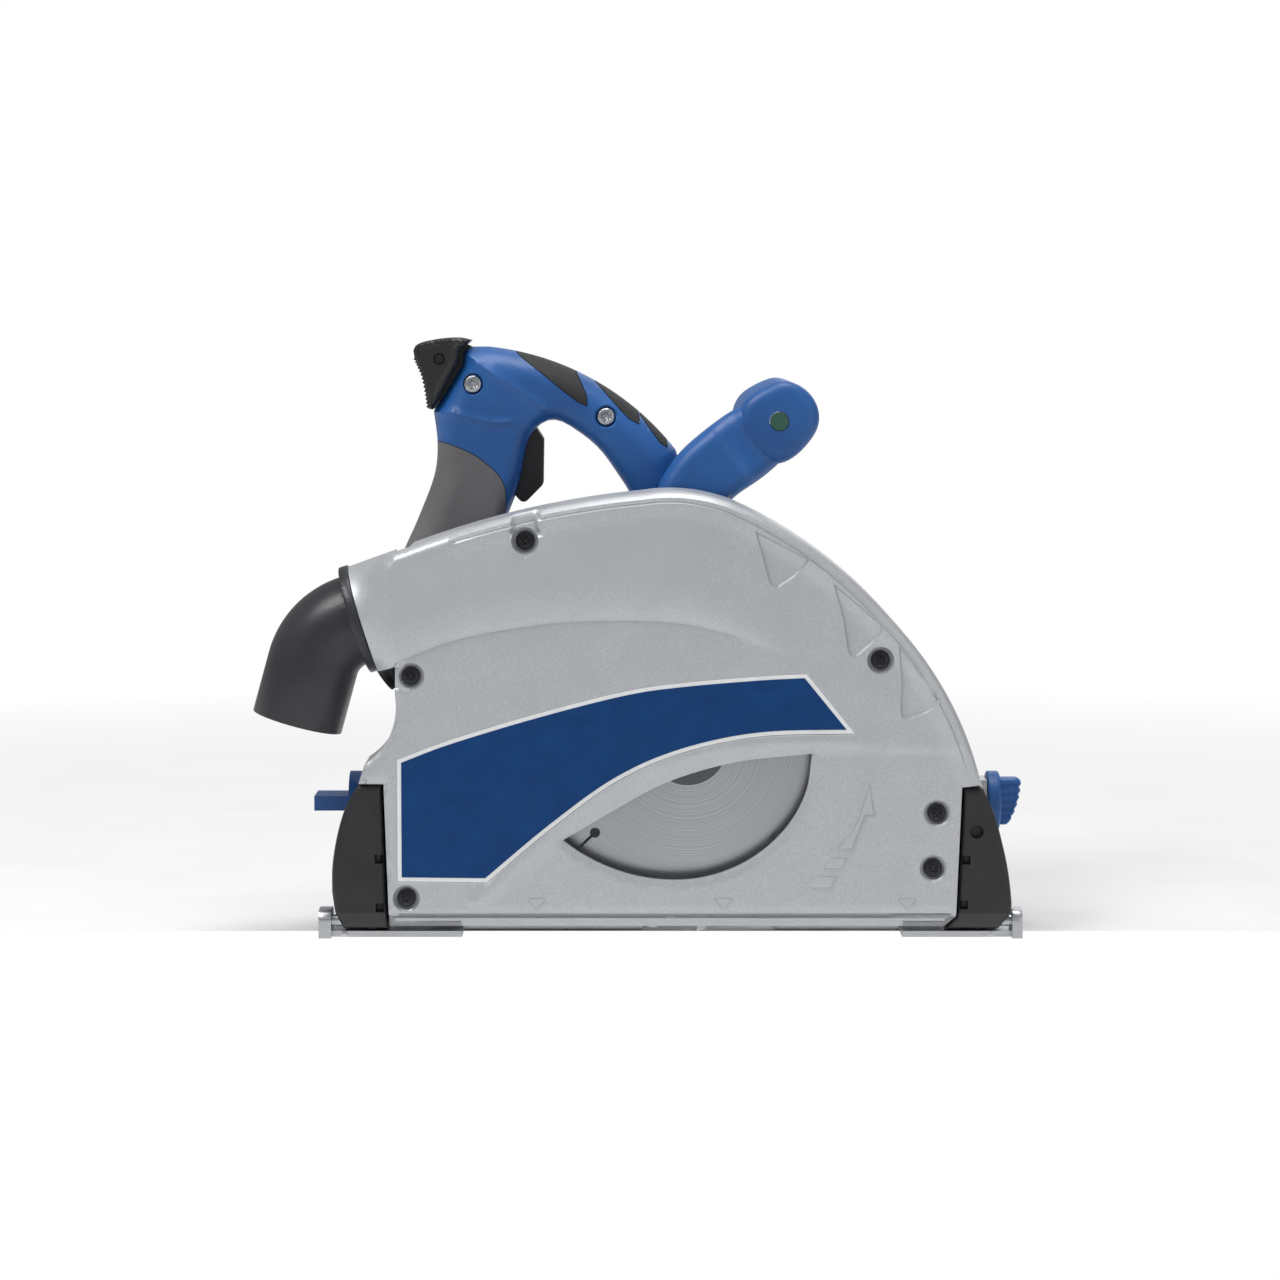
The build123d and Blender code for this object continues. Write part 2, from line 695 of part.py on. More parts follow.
def depth_parts():
    """The arc scale and the sliding stop that sets the depth of cut."""
    inner = stop_radius - stop_width / 2
    outer = stop_radius + stop_width / 2
    low = stop_top - stop_span
    strip = sector(inner - 4, outer + 3, low - 3, stop_top + stop_travel + 2)
    scale = slab(strip, plate_far, plate_far + scale_thickness)
    slot_arc = CenterArc((pivot_x, pivot_z), stop_radius, low + 2, stop_travel + stop_span - 4)
    scale -= slab(SlotArc(slot_arc, 5.0), plate_far, plate_far + scale_thickness)
    block_near = plate_far + scale_thickness + 0.2
    block_far = plate_far + stop_far
    slider = slab(sector(inner, outer, low, stop_top), block_near, block_far)
    centre = around_pivot(stop_radius, stop_top - stop_span / 2)
    slider -= rod_y(centre[0], centre[1], block_near - 1, block_far + 1, 2.5 + running_fit)
    knob = rod_y(centre[0], centre[1], block_far + 0.2, block_far + 10, 8.5)
    knob += rod_y(centre[0], centre[1], plate_far + 0.3, block_far + 1, 2.0)
    return {"depth_scale": scale, "depth_stop": slider, "depth_stop_knob": knob}


def by_blade(along, up):
    """A point given in blade radii from the arbor at full depth, in the XZ plane."""
    return (arbor_x + along * blade_radius, arbor_z + up * blade_radius)


def knife_parts():
    """The riving knife and the guide that it slides in."""
    slope = math.atan2(knife_shift, knife_drop)
    unit = (-math.sin(slope), math.cos(slope))
    side = (math.cos(slope) * knife_width / 2, math.sin(slope) * knife_width / 2)
    foot = (knife_foot_x, knife_foot_z)
    reach = (knife_top - foot[1]) / math.cos(slope)
    top = (foot[0] + unit[0] * reach, foot[1] + unit[1] * reach)
    right_foot = (foot[0] + side[0], foot[1] + side[1])
    left_foot = (foot[0] - side[0], foot[1] - side[1])
    right_top = (top[0] + side[0], top[1] + side[1])
    left_top = (top[0] - side[0], top[1] - side[1])
    outer = ThreePointArc(left_foot, by_blade(-1.038, -0.795), by_blade(-0.568, -0.971))
    tip = ThreePointArc(by_blade(-0.568, -0.971), by_blade(-0.520, -0.931), by_blade(-0.583, -0.870))
    inner = ThreePointArc(by_blade(-0.583, -0.870), by_blade(-0.957, -0.613), right_foot)
    shank = [Line(right_foot, right_top), Line(right_top, left_top), Line(left_top, left_foot)]
    face = make_face([outer.edge(), tip.edge(), inner.edge()] + shank)
    half = knife_thickness / 2
    knife = slab(face, blade_y - half, blade_y + half)
    knife = Pos(-knife_shift, 0, knife_drop) * knife
    # guide block, slanted with the knife
    z0 = knife_top - 14.5
    z1 = knife_top - 1.5

    def across(z, offset_x):
        return (foot[0] + unit[0] / unit[1] * (z - foot[1]) + offset_x, z)

    wide = knife_width / 2 + guide_wall
    corners = [across(z0, -wide), across(z0, wide), across(z1, wide), across(z1, -wide)]
    block = slab(polygon(*corners), blade_y - 4, guard_split)
    narrow = (knife_width / 2 + running_fit) / math.cos(slope)
    groove = polygon(
        across(z0 - 5, -narrow), across(z0 - 5, narrow), across(z1 + 5, narrow), across(z1 + 5, -narrow)
    )
    block -= slab(groove, blade_y - half - running_fit, blade_y + half + running_fit)
    screws = []
    for z, shift in ((z0 + 4, 2.8 - wide), (z1 - 4, wide - 2.8)):
        x, height = across(z, shift)
        block -= rod_y(x, height, blade_y - 5, guard_split, screw_shank - 0.3)
        screw = rod_y(x, height, blade_y - 6, blade_y - 4, 2.6)
        screws.append(screw + rod_y(x, height, blade_y - 4, guard_split, screw_shank - 0.3))
    return {"riving_knife": knife, "knife_guide": block, "knife_guide_screws": Compound(children=screws)}


def blade_parts():
    """The spindle and everything that turns with it, at the arbor of full depth."""
    half = blade_kerf / 2
    body_half = blade_body / 2
    root = blade_radius - 9.5
    disc = rod_y(0, 0, -body_half, body_half, root)
    step = 360 / blade_teeth
    teeth = []
    slots = []
    for i in range(blade_teeth):
        turn = Rot(0, -i * step, 0)
        # tooth with a hooked face, a back that falls away and a low shoulder behind the gullet
        tooth = polygon(
            (-8.6, root - 3), (-9.0, root + 3.0), (-6.0, root + 5.6), (-3.6, root + 4.6), (-2.6, root + 3.6),
            (0.6, blade_radius - 0.6), (4.4, blade_radius - 0.05), (2.6, root + 1.4), (-1.0, root - 1.0),
        )
        teeth.append(turn * slab(tooth, -body_half, body_half))
        carbide = polygon(
            (1.4, blade_radius - 0.45), (4.4, blade_radius - 0.05), (2.4, root + 2.6), (0.9, root + 4.0),
        )
        teeth.append(turn * slab(carbide, -half, half))
        if i % 6 == 0:
            slots.append(turn * box(-0.6, 0.6, -half, half, root - 16, blade_radius))
            slots.append(turn * rod_y(0, root - 16, -half, half, 2.2))
    blade = disc.fuse(*teeth)
    # expansion slots lie in the gullets
    gullet = Rot(0, -step * 0.5, 0)
    for slot in slots:
        blade -= gullet * slot
    blade -= rod_y(0, 0, -5, 5, blade_bore / 2)

    near = blade_y - body_half
    far = blade_y + body_half
    spindle = rod_y(0, 0, near - 3.0, nose_near + 0.2, blade_bore / 2 - running_fit)
    spindle += rod_y(0, 0, nose_near + 0.2, case_far - 5, spindle_radius)
    spindle -= rod_y(0, 0, near - 4, nose_near, 4.0)
    inner_flange = rod_y(0, 0, far, nose_near - 0.4, flange_radius)
    inner_flange -= rod_y(0, 0, -100, 0, blade_bore / 2)
    outer_flange = rod_y(0, 0, near - 3.0, near, flange_radius)
    outer_flange -= rod_y(0, 0, -100, 0, blade_bore / 2)
    bolt = rod_y(0, 0, near - 9.0, near - 3.0, bolt_head_radius) + rod_y(0, 0, near - 3.0, nose_near - 1, 4.0)
    socket = Pos(0, near - 9.0, 0) * Rot(-90, 0, 0) * extrude(RegularPolygon(2.9, 6), amount=3.6)
    bolt -= socket
    gear_near = case_near + 7.5
    mesh_phase = motor_rise
    wheel = along_y(0, 0, gear_near, gear(gear_teeth, gear_width, spindle_radius, -mesh_phase))
    parts = {
        "saw_blade": Pos(0, blade_y, 0) * blade,
        "spindle": spindle,
        "inner_flange": inner_flange,
        "outer_flange": outer_flange,
        "blade_bolt": bolt,
        "spindle_gear": wheel,
    }
    return {name: Pos(arbor_x, 0, arbor_z) * shape for name, shape in parts.items()}


def rotor_parts():
    """The motor's armature with its fan and pinion, at the motor axis of full depth."""
    gear_near = case_near + 7.5
    opposite = motor_rise + 180
    pinion_phase = -opposite + 180 / pinion_teeth
    pinion = along_y(0, 0, gear_near, gear(pinion_teeth, gear_width, 2.6, pinion_phase))
    shaft = rod_y(0, 0, gear_near + gear_width, motor_far + 10, motor_shaft_radius)
    shaft += rod_y(0, 0, gear_near, gear_near + gear_width, 2.6)
    core = rod_y(0, 0, 8, 50, 20) - rod_y(0, 0, 8, 50, motor_shaft_radius)
    for i in range(12):
        core -= Rot(0, 30 * i, 0) * box(-1.2, 1.2, 7, 51, 15, 21)
    winding = rod_y(0, 0, 2, 8, 16.5) + rod_y(0, 0, 50, 55, 16.5)
    winding -= rod_y(0, 0, 0, 60, motor_shaft_radius)
    commutator = rod_y(0, 0, 57, 69, 11.5) - rod_y(0, 0, 57, 69, motor_shaft_radius)
    for i in range(24):
        commutator -= Rot(0, 15 * i, 0) * box(-0.25, 0.25, 56, 70, 10.6, 12)
    fan = rod_y(0, 0, -12, -10, 31) + rod_y(0, 0, -10, -2, 8)
    fan -= rod_y(0, 0, -13, 0, motor_shaft_radius)
    for i in range(13):
        fan += Rot(0, 360 / 13 * i, 0) * Pos(0, 0, 0) * Rot(0, 12, 0) * box(-0.9, 0.9, -10, -3, 10, 30.5)
    parts = {
        "motor_pinion": pinion,
        "rotor_shaft": shaft,
        "rotor_core": core,
        "rotor_windings": winding,
        "commutator": commutator,
        "cooling_fan": fan,
    }
    return {name: Pos(motor_x, 0, motor_z) * shape for name, shape in parts.items()}


def gear_case():
    """The cast head: arm and hub, gear case, spindle nose and the web to the front grip."""
    case = slab(hull((arbor_x, arbor_z, case_radius), (motor_x, motor_z, motor_radius)), case_near, case_far)
    case += slab(hull((pivot_x, pivot_z, hub_radius + 3), (motor_x, motor_z, 30)), case_near, arm_far)
    case += slab(hull((motor_x, motor_z, web_root), (web_x, web_z, web_end)), web_near, web_far)
    lug = sector(stop_radius - stop_width / 2, stop_radius + stop_width / 2, stop_top + 0.2, stop_top + 9)
    case += slab(lug, web_near, case_near + 9.5)
    case += rod_y(pivot_x, pivot_z, case_near, hub_far, hub_radius)
    case += rod_y(arbor_x, arbor_z, nose_near, case_near, bearing_outer + 3)
    # boss that the spring's upper leg lifts, beside the leg when the head is up
    reach = math.hypot(anchor_reach, anchor_drop)
    rise = math.degrees(math.atan2(anchor_drop, anchor_reach))
    boss = around_pivot(reach, rise - plunge_travel)
    case += rod_y(boss[0], boss[1], arm_far - 1, hub_far - 2, anchor_radius)
    # gear chamber, open towards the motor
    inner = hull(
        (arbor_x, arbor_z, case_radius - case_wall), (motor_x, motor_z, 14),
    )
    case -= slab(inner, case_near + 5, case_far - 11.5)
    case -= rod_y(arbor_x, arbor_z, nose_near - 1, case_near + 6, spindle_radius + 2)
    case -= rod_y(arbor_x, arbor_z, nose_near + 0.6, nose_near + 0.6 + bearing_width, bearing_outer)
    case -= rod_y(arbor_x, arbor_z, nose_near - 1, nose_near + 1, bearing_outer)
    case -= rod_y(arbor_x, arbor_z, case_far - 12, case_far - 12 + bearing_width, bearing_outer)
    case -= rod_y(motor_x, motor_z, case_far - 12, case_far + 1, motor_shaft_radius + 2)
    case -= rod_y(motor_x, motor_z, case_far - motor_bearing_width, case_far, motor_bearing_outer)
    case -= rod_y(pivot_x, pivot_z, case_near - 1, hub_far + 1, shaft_radius + running_fit)
    case += rod_z(lock_x, lock_y, pivot_z, lock_z, 7) & slab(Rectangle(900, 900), case_near, arm_far + 0.2)
    case -= rod_z(lock_x, lock_y, lock_z - 7, lock_z + 1, 5 + running_fit)
    return case


def motor_parts():
    """Motor housing, end cap, stator, brushes and bearings."""
    outer = rod_y(motor_x, motor_z, case_far, motor_far, motor_radius)
    outer -= rod_y(motor_x, motor_z, case_far, motor_far, motor_radius - motor_wall)
    # air outlets near the fan and brush ports near the end
    for i in range(10):
        slot = box(-2.0, 2.0, -14, -3, motor_radius - 6, motor_radius + 2)
        outer -= Pos(motor_x, 0, motor_z) * Rot(0, 140 + 20 * i, 0) * slot
    brush_y = 63.0
    for side in (-1, 1):
        outer -= rod_x(brush_y, motor_z, motor_x + side * 36 - 5, motor_x + side * 36 + 5, 5.2)
    cap = rod_y(motor_x, motor_z, motor_far, motor_far + motor_cap_length, motor_radius)
    cap = fillet(cap.edges().sort_by(Axis.Y)[-1], 8)
    cap -= rod_y(motor_x, motor_z, motor_far - 1, motor_far + motor_cap_length - 6, motor_radius - motor_wall)
    seat_near = motor_far + 3
    cap += rod_y(motor_x, motor_z, seat_near, motor_far + motor_cap_length - 5, motor_bearing_outer + 3)
    cap -= rod_y(motor_x, motor_z, seat_near - 1, seat_near + motor_bearing_width, motor_bearing_outer)
    cap += spokes(motor_far + 5, motor_far + motor_cap_length - 5) - rod_y(
        motor_x, motor_z, motor_far, motor_far + 30, motor_bearing_outer + 2
    )
    for i in range(9):
        slot = box(-16, 16, motor_far + 8, motor_far + 40, -1.3, 1.3)
        cap -= Pos(motor_x, 7, motor_z - 24 + 6 * i) * slot - rod_y(
            motor_x, motor_z, motor_far, motor_far + 40, motor_bearing_outer + 3
        )
    stator = rod_y(motor_x, motor_z, 6, 52, 33) - rod_y(motor_x, motor_z, 6, 52, 20.6)
    for low in (motor_z + 23.5, motor_z - 29.5):
        stator -= box(motor_x - 9, motor_x + 9, 5, 53, low, low + 6)
    ring_seat = rod_y(motor_x, motor_z, 4, 54, motor_radius - motor_wall) - rod_y(motor_x, motor_z, 4, 54, 33)
    outer += ring_seat & box(motor_x - 60, motor_x + 60, 20, 26, motor_z - 60, motor_z + 60)
    brushes = []
    caps = []
    for side in (-1, 1):
        near = motor_x + side * 12.0
        far = motor_x + side * 33.0
        tube = rod_x(brush_y, motor_z, min(near, far), max(near, far), 4.4)
        brushes.append(tube)
        outside = motor_x + side * 39.0
        caps.append(rod_x(brush_y, motor_z, min(far, outside), max(far, outside), 5.1))
    return {
        "motor_housing": outer,
        "motor_end_cap": cap,
        "stator": stator,
        "carbon_brushes": Compound(children=brushes),
        "brush_caps": Compound(children=caps),
    }


def spokes(near, far):
    """Three walls that carry the rear bearing seat in the motor's end cap."""
    found = []
    for i in range(3):
        wall = box(-1.5, 1.5, near, far, 12, motor_radius - motor_wall + 0.5)
        found.append(Pos(motor_x, 0, motor_z) * Rot(0, 60 + 120 * i, 0) * wall)
    return found[0] + found[1] + found[2]


def bearing_parts():
    """The four ball bearings of the spindle and the armature."""
    spindle_ones = bearing(bearing_outer, spindle_radius + running_fit, bearing_width)
    motor_ones = bearing(motor_bearing_outer, motor_shaft_radius + running_fit, motor_bearing_width)
    places = {
        "spindle_bearings": [
            [along_y(arbor_x, arbor_z, y, one) for one in spindle_ones]
            for y in (nose_near + 0.6, case_far - 12)
        ],
        "motor_bearings": [
            [along_y(motor_x, motor_z, y, one) for one in motor_ones]
            for y in (case_far - motor_bearing_width, motor_far + 3)
        ],
    }
    return {
        name: Compound(children=[one for group in groups for one in group])
        for name, groups in places.items()
    }


def handle_outline():
    """The side view of the closed handle, without its finger opening."""
    rear = arcs_through((-0.05, 1), (-58, 112), (-59, 138), (-42, 161), (-8.3, 181.5), (8.0, 204))
    crown = Polyline((8.0, 204), (20, 213), (36, 217), (44, 213))
    front = ThreePointArc((44, 213), (72.5, 175), (84, 128))
    low = Polyline((84, 128), (76, 104), (40, 74), (-34, 74), (-58, 112))
    return make_face(rear + crown.edges() + front.edges() + low.edges())


def finger_outline():
    """The finger opening of the handle."""
    shape = polygon(
        (-30, 108), (-34, 122), (-10, 137.5), (20.8, 157), (36, 172), (50, 172), (58, 150), (57, 120),
        (42, 102), (-20, 102),
    )
    return fillet(shape.vertices(), 5)


def handle_parts():
    """Handle shells, soft skins, controls, switch and the screws through them."""
    near = handle_y - handle_width / 2
    far = handle_y + handle_width / 2
    outline = handle_outline() - finger_outline()
    solid = slab(outline, near, far)
    solid = fillet(solid.edges().filter_by(Plane.XZ), handle_round)
    cradle = rod_y(motor_x, motor_z, -100, 100, motor_radius + 0.2)
    solid -= cradle
    hollow = slab(offset(outline, amount=-handle_wall), near + handle_wall, far - handle_wall)
    hollow -= rod_y(motor_x, motor_z, -100, 100, motor_radius + handle_wall)
    core = slab(offset(outline, amount=-grip_skin), near + grip_skin, far - grip_skin)
    core = chamfer(core.edges().filter_by(Plane.XZ), grip_skin * 1.3)
    # grey skin round the rear grip, black skins on the front strut
    grip_zone = slab(polygon((-66, 128), (-36, 118), (18, 154), (2, 205), (-70, 170)), near - 1, far + 1)
    upper_zone = slab(polygon((50, 206), (72, 186), (58, 172), (44, 186)), near - 1, far + 1)
    lower_zone = slab(polygon((72, 176), (92, 150), (92, 132), (64, 150), (62, 168)), near - 1, far + 1)
    grip = (solid & grip_zone) - core
    inserts = [(solid & zone) - core for zone in (upper_zone, lower_zone)]
    gland_hole = rod_x(handle_y, gland_z, gland_x, gland_x + gland_length, gland_radius)
    trigger_room = polygon((9, 142), (43, 164), (38, 190), (6, 168))
    trigger_gap = slab(trigger_room, handle_y - trigger_width / 2 - 0.4, handle_y + trigger_width / 2 + 0.4)
    grip = max((grip - trigger_gap - gland_hole).solids(), key=lambda one: one.volume)
    shell = solid - grip - inserts[0] - inserts[1] - hollow - trigger_gap - gland_hole
    tongue = polygon((14, 204), (19.5, 225.5), (28.0, 226.0), (34.0, 219.0), (36, 208))
    shell += slab(fillet(tongue.vertices(), 1.5), handle_y - tongue_width / 2, handle_y + tongue_width / 2)
    shell -= rod_y(lock_pin[0], lock_pin[1], near, far, control_pin_radius)
    screw_places = [(29.5, 203.5), (68, 158), (70, 116), (-46, 118), (-40, 150)]
    for x, z in screw_places:
        shell += rod_y(x, z, near + 1, far - 1, 4.2)
        shell -= rod_y(x, z, near - 1, near + 2.2, screw_head + 0.2)
        shell -= rod_y(x, z, near + 2, far - 4, screw_shank)
    near_side = box(-200, 200, -200, handle_y, 0, 300)
    far_side = box(-200, 200, handle_y, 200, 0, 300)
    screws = [screw_along_y(x, z, near + 0.0, handle_width - 4) for x, z in screw_places]
    for x, z in screw_places:
        grip -= rod_y(x, z, near - 1, far + 1, 4.2)
    for zone in range(2):
        for x, z in screw_places:
            inserts[zone] -= rod_y(x, z, near - 1, far + 1, 4.2)
    parts = {
        "handle_shell_near": shell & near_side,
        "handle_shell_far": shell & far_side,
        "rear_grip_skin": grip,
        "front_grip_inserts": Compound(children=[s for one in inserts for s in one.solids()]),
        "handle_screws": Compound(children=screws),
    }
    parts.update(control_parts())
    return parts


def control_parts():
    """Trigger, lock-off lever, their pins and the switch between them."""
    blade_shape = polygon((16, 148), (28, 150), (40, 166), (41, 184), (33, 187), (14, 166))
    trigger_near = handle_y - trigger_width / 2
    trigger = slab(fillet(blade_shape.vertices(), 2.5), trigger_near, trigger_near + trigger_width)
    trigger -= rod_y(trigger_pin[0], trigger_pin[1], -100, 100, control_pin_radius + running_fit)
    pin = rod_y(trigger_pin[0], trigger_pin[1], handle_y - 12, handle_y + 12, control_pin_radius)
    lever_shape = polygon(
        (5.6, 208.2), (13, 218), (17.5, 231.8), (30, 232), (41, 220.4), (34, 219.4), (19, 215.0),
    )
    lever = slab(fillet(lever_shape.vertices(), 1.2), handle_y - 15, handle_y + 15)
    room = polygon((10.0, 190), (15.6, 229.2), (30.5, 229.4), (42.0, 218), (42, 190))
    room_half = tongue_width / 2 + face_gap
    lever -= slab(room, handle_y - room_half, handle_y + room_half)
    for i in range(6):
        groove = rod_y(7.6 + 1.9 * i, 211.4 + 3.6 * i, handle_y - 16, handle_y + 16, 0.7)
        lever -= groove
    lever -= rod_y(lock_pin[0], lock_pin[1], -100, 100, control_pin_radius + running_fit)
    lever_pin = rod_y(lock_pin[0], lock_pin[1], handle_y - 15.4, handle_y + 15.4, control_pin_radius)
    switch_width = handle_width - 2 * handle_wall - 2 * face_gap
    switch = Pos(-6, handle_y, 162) * Rot(0, -32, 0) * Box(24, switch_width, 12)
    gland = rod_x(handle_y, gland_z, gland_x, gland_x + gland_length, gland_radius)
    gland -= rod_x(handle_y, gland_z, gland_x - 1, gland_x + gland_length + 1, 3.4)
    for i in range(5):
        ring_x = gland_x + 2.5 + 3.2 * i
        ring = rod_x(handle_y, gland_z, ring_x, ring_x + 1.4, gland_radius + 1)
        gland -= ring - rod_x(handle_y, gland_z, ring_x, ring_x + 1.4, gland_radius - 1)
    return {
        "trigger": trigger,
        "control_pins": Compound(children=[pin, lever_pin]),
        "lock_off_lever": lever,
        "switch_module": switch,
        "cord_gland": gland,
    }


def grip_parts():
    """The front grip with its arm, end plug and mounting screws."""
    bar = slab(Pos(grip_x, grip_z) * Ellipse(grip_half_x, grip_half_z), grip_near, grip_far)
    bar = fillet(bar.edges().filter_by(Plane.XZ), 5)
    arm_shape = polygon(
        (web_x - 26, web_z + 6), (web_x - 6, web_z + 14), (grip_x, grip_z + 14), (grip_x, grip_z - 14),
        (web_x, web_z - 14), (web_x - 34, web_z - 24),
    )
    arm = slab(arm_shape, web_near - arm_wall, handle_near - 0.5)
    web = hull((motor_x, motor_z, web_root + 0.3), (web_x, web_z, web_end + 0.3))
    pocket = slab(web, web_near - 0.2, web_far + 0.2)
    grip = bar + fillet(arm.edges().filter_by(Axis.Y).sort_by(Axis.Z)[-2:], 3) - pocket
    grip -= rod_y(grip_x, grip_z, grip_near - 1, grip_near + 4, 4.0)
    plug = rod_y(grip_x, grip_z, grip_near - 0.4, grip_near + 4, 4.0 - running_fit)
    screws = []
    for x, z in web_screws:
        head = handle_near - 2.7
        screws.append(rod_y(x, z, head, head + 2.0, 3.6) + rod_y(x, z, web_near, head, 2.0))
        grip -= rod_y(x, z, head, head + 10, 3.8) + rod_y(x, z, web_far - 1, head + 1, 2.0 + running_fit)
    return {"front_grip": grip, "front_grip_plug": plug, "front_grip_screws": Compound(children=screws)}


def lock_button():
    """The spindle lock's push button on the arm."""
    button = rod_z(lock_x, lock_y, lock_z - 1.5, lock_z + 5, 5.0)
    return button - rod_z(lock_x, lock_y, lock_z + 4.4, lock_z + 6, 3.0)


def all_parts():
    """Every node of the saw at rest, with the head swung up."""
    parts = {}
    parts.update(base_parts())
    parts.update(guard_parts())
    parts.update(shaft_parts())
    parts.update(depth_parts())
    parts.update(knife_parts())
    parts["dust_elbow"] = dust_elbow()
    head = {"gear_case": gear_case(), "spindle_lock_button": lock_button()}
    head.update(blade_parts())
    head.update(rotor_parts())
    head.update(motor_parts())
    head.update(bearing_parts())
    head.update(handle_parts())
    head.update(grip_parts())
    case = head["gear_case"]
    for x, z in web_screws:
        case -= rod_y(x, z, web_near - 1, web_far + 1, 2.0 + running_fit)
    head["gear_case"] = case
    for name, shape in head.items():
        parts[name] = lifted(shape)
    return parts


if __name__ == "__main__":
    os.makedirs("parts", exist_ok=True)
    print("plunge travel", round(plunge_travel, 3), "arbor at rest", round(rest_arbor_x, 3), rest_arbor_z)
    print("arbor at full depth", round(arbor_x, 3), arbor_z)
    print("motor axis", round(motor_x, 3), round(motor_z, 3))
    print("motor axis at rest", lifted_point(motor_x, motor_z))
    for name, shape in all_parts().items():
        export_step(solids_of(shape), "parts/" + name + ".step")
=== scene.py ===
import bpy
import math
import numpy as np
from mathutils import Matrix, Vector
from mathutils.geometry import delaunay_2d_cdt


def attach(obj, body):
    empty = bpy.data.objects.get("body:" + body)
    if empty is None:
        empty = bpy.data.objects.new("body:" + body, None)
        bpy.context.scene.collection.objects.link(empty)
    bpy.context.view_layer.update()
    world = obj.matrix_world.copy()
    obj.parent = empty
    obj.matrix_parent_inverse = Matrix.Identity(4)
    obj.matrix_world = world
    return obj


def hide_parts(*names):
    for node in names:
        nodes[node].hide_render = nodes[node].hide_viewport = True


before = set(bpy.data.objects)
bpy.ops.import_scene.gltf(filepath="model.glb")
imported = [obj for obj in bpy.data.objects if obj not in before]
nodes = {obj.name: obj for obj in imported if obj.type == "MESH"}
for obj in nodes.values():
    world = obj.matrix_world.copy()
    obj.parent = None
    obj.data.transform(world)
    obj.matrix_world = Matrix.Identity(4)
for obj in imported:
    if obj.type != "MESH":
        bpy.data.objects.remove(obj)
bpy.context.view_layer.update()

mm = 0.001
print("frame loaded:", len(nodes), "CAD nodes")

# the head's pieces are drawn at full depth and swung up about the plunge shaft to their place at rest
headSwing = {"pivotX": -77.2, "pivotZ": 38.4, "travel": 35.951}
bladeSet = {"arm": 93.2, "arborZ": 81.7, "y": -76}


def linearOf(hexColour):
    # sRGB hex to the linear values that the shaders take
    parts = [int(hexColour[i:i + 2], 16) / 255 for i in (1, 3, 5)]
    return tuple(c / 12.92 if c <= 0.04045 else ((c + 0.055) / 1.055) ** 2.4 for c in parts) + (1.0,)


def addNode(tree, kind, inputs=None, **settings):
    # one node with its settings; a socket given as an input value becomes a link
    made = tree.nodes.new("ShaderNode" + kind)
    for key, value in settings.items():
        setattr(made, key, value)
    for key, value in (inputs or {}).items():
        if isinstance(value, bpy.types.NodeSocket):
            tree.links.new(value, made.inputs[key])
        else:
            made.inputs[key].default_value = value
    return made


def newMaterial(name, **surface):
    # an empty material with its Principled shader; surface gives the constant sockets
    made = bpy.data.materials.new(name)
    made.use_nodes = True
    tree = made.node_tree
    shader = tree.nodes["Principled BSDF"]
    for key, value in surface.items():
        shader.inputs[key.replace("_", " ")].default_value = value
    return made, tree, shader


def grainOf(tree, size, detail=2.0, stretch=(1, 1, 1)):
    # noise whose blobs are about `size` millimetres across, on object coordinates
    place = addNode(tree, "TexCoord")
    turned = addNode(tree, "Mapping", {"Vector": place.outputs["Object"], "Scale": stretch})
    noise = addNode(tree, "TexNoise", {"Vector": turned.outputs[0], "Scale": 1 / (size * mm), "Detail": detail})
    return noise.outputs[0]


def spread(tree, value, low, high, fromLow=0.3, fromHigh=0.7):
    # a grey value mapped to a small range
    return addNode(tree, "MapRange", {
        "Value": value, "From Min": fromLow, "From Max": fromHigh, "To Min": low, "To Max": high,
    }).outputs[0]


def blendColours(tree, factor, first, second):
    # a mix of two colours, each a hex string or a socket
    made = addNode(tree, "Mix", data_type="RGBA")
    colours = [linearOf(c) if isinstance(c, str) else c for c in (first, second)]
    for socket, value in zip((made.inputs[0], made.inputs[6], made.inputs[7]), (factor, *colours)):
        if isinstance(value, bpy.types.NodeSocket):
            tree.links.new(value, socket)
        else:
            socket.default_value = value
    return made.outputs[2]


def bumpOf(tree, shader, height, strength, depth):
    # bump of a depth in millimetres
    made = addNode(tree, "Bump", {"Height": height, "Strength": strength, "Distance": depth * mm})
    tree.links.new(made.outputs[0], shader.inputs["Normal"])


def toneOf(tree, grain, first, second, share=1):
    # two colours mixed by a grain
    return blendColours(tree, spread(tree, grain, 0, share), first, second)


def dress(tree, shader, tone, grain, rough, around):
    # a colour, and a roughness that follows the grain between two offsets
    tree.links.new(tone, shader.inputs["Base Color"])
    low, high = (rough + offset for offset in around)
    tree.links.new(spread(tree, grain, low, high), shader.inputs["Roughness"])


lacquerLook = {"metallic": 0.45, "rough": 0.4, "around": (-0.04, 0.1), "coat": 0.15, "coatRough": 0.25, "flake": 0.55,
               "cloud": 18, "low": "#BCBFC3", "high": "#D0D2D5", "worn": "#B4B7BB", "wornShare": 0.25, "bump": 0.25,
               "depth": 0.05}


def makeSilverLacquer():
    # die-cast aluminium under silver metallic lacquer: fine sparkling flake and a soft sheen
    look = lacquerLook
    made, tree, shader = newMaterial("silverLacquerOnCasting", Metallic=look["metallic"], Roughness=look["rough"],
                                     Coat_Weight=look["coat"], Coat_Roughness=look["coatRough"])
    flake = grainOf(tree, look["flake"], 1.0)          # flake drawn coarse enough to show
    tone = toneOf(tree, flake, look["low"], look["high"])
    worn = toneOf(tree, grainOf(tree, look["cloud"]), tone, look["worn"], look["wornShare"])
    dress(tree, shader, worn, flake, look["rough"], look["around"])
    bumpOf(tree, shader, flake, look["bump"], look["depth"])
    return made


plasticLook = {"ior": 1.53, "cloud": 22, "around": (-0.05, 0.07), "bump": 0.35}


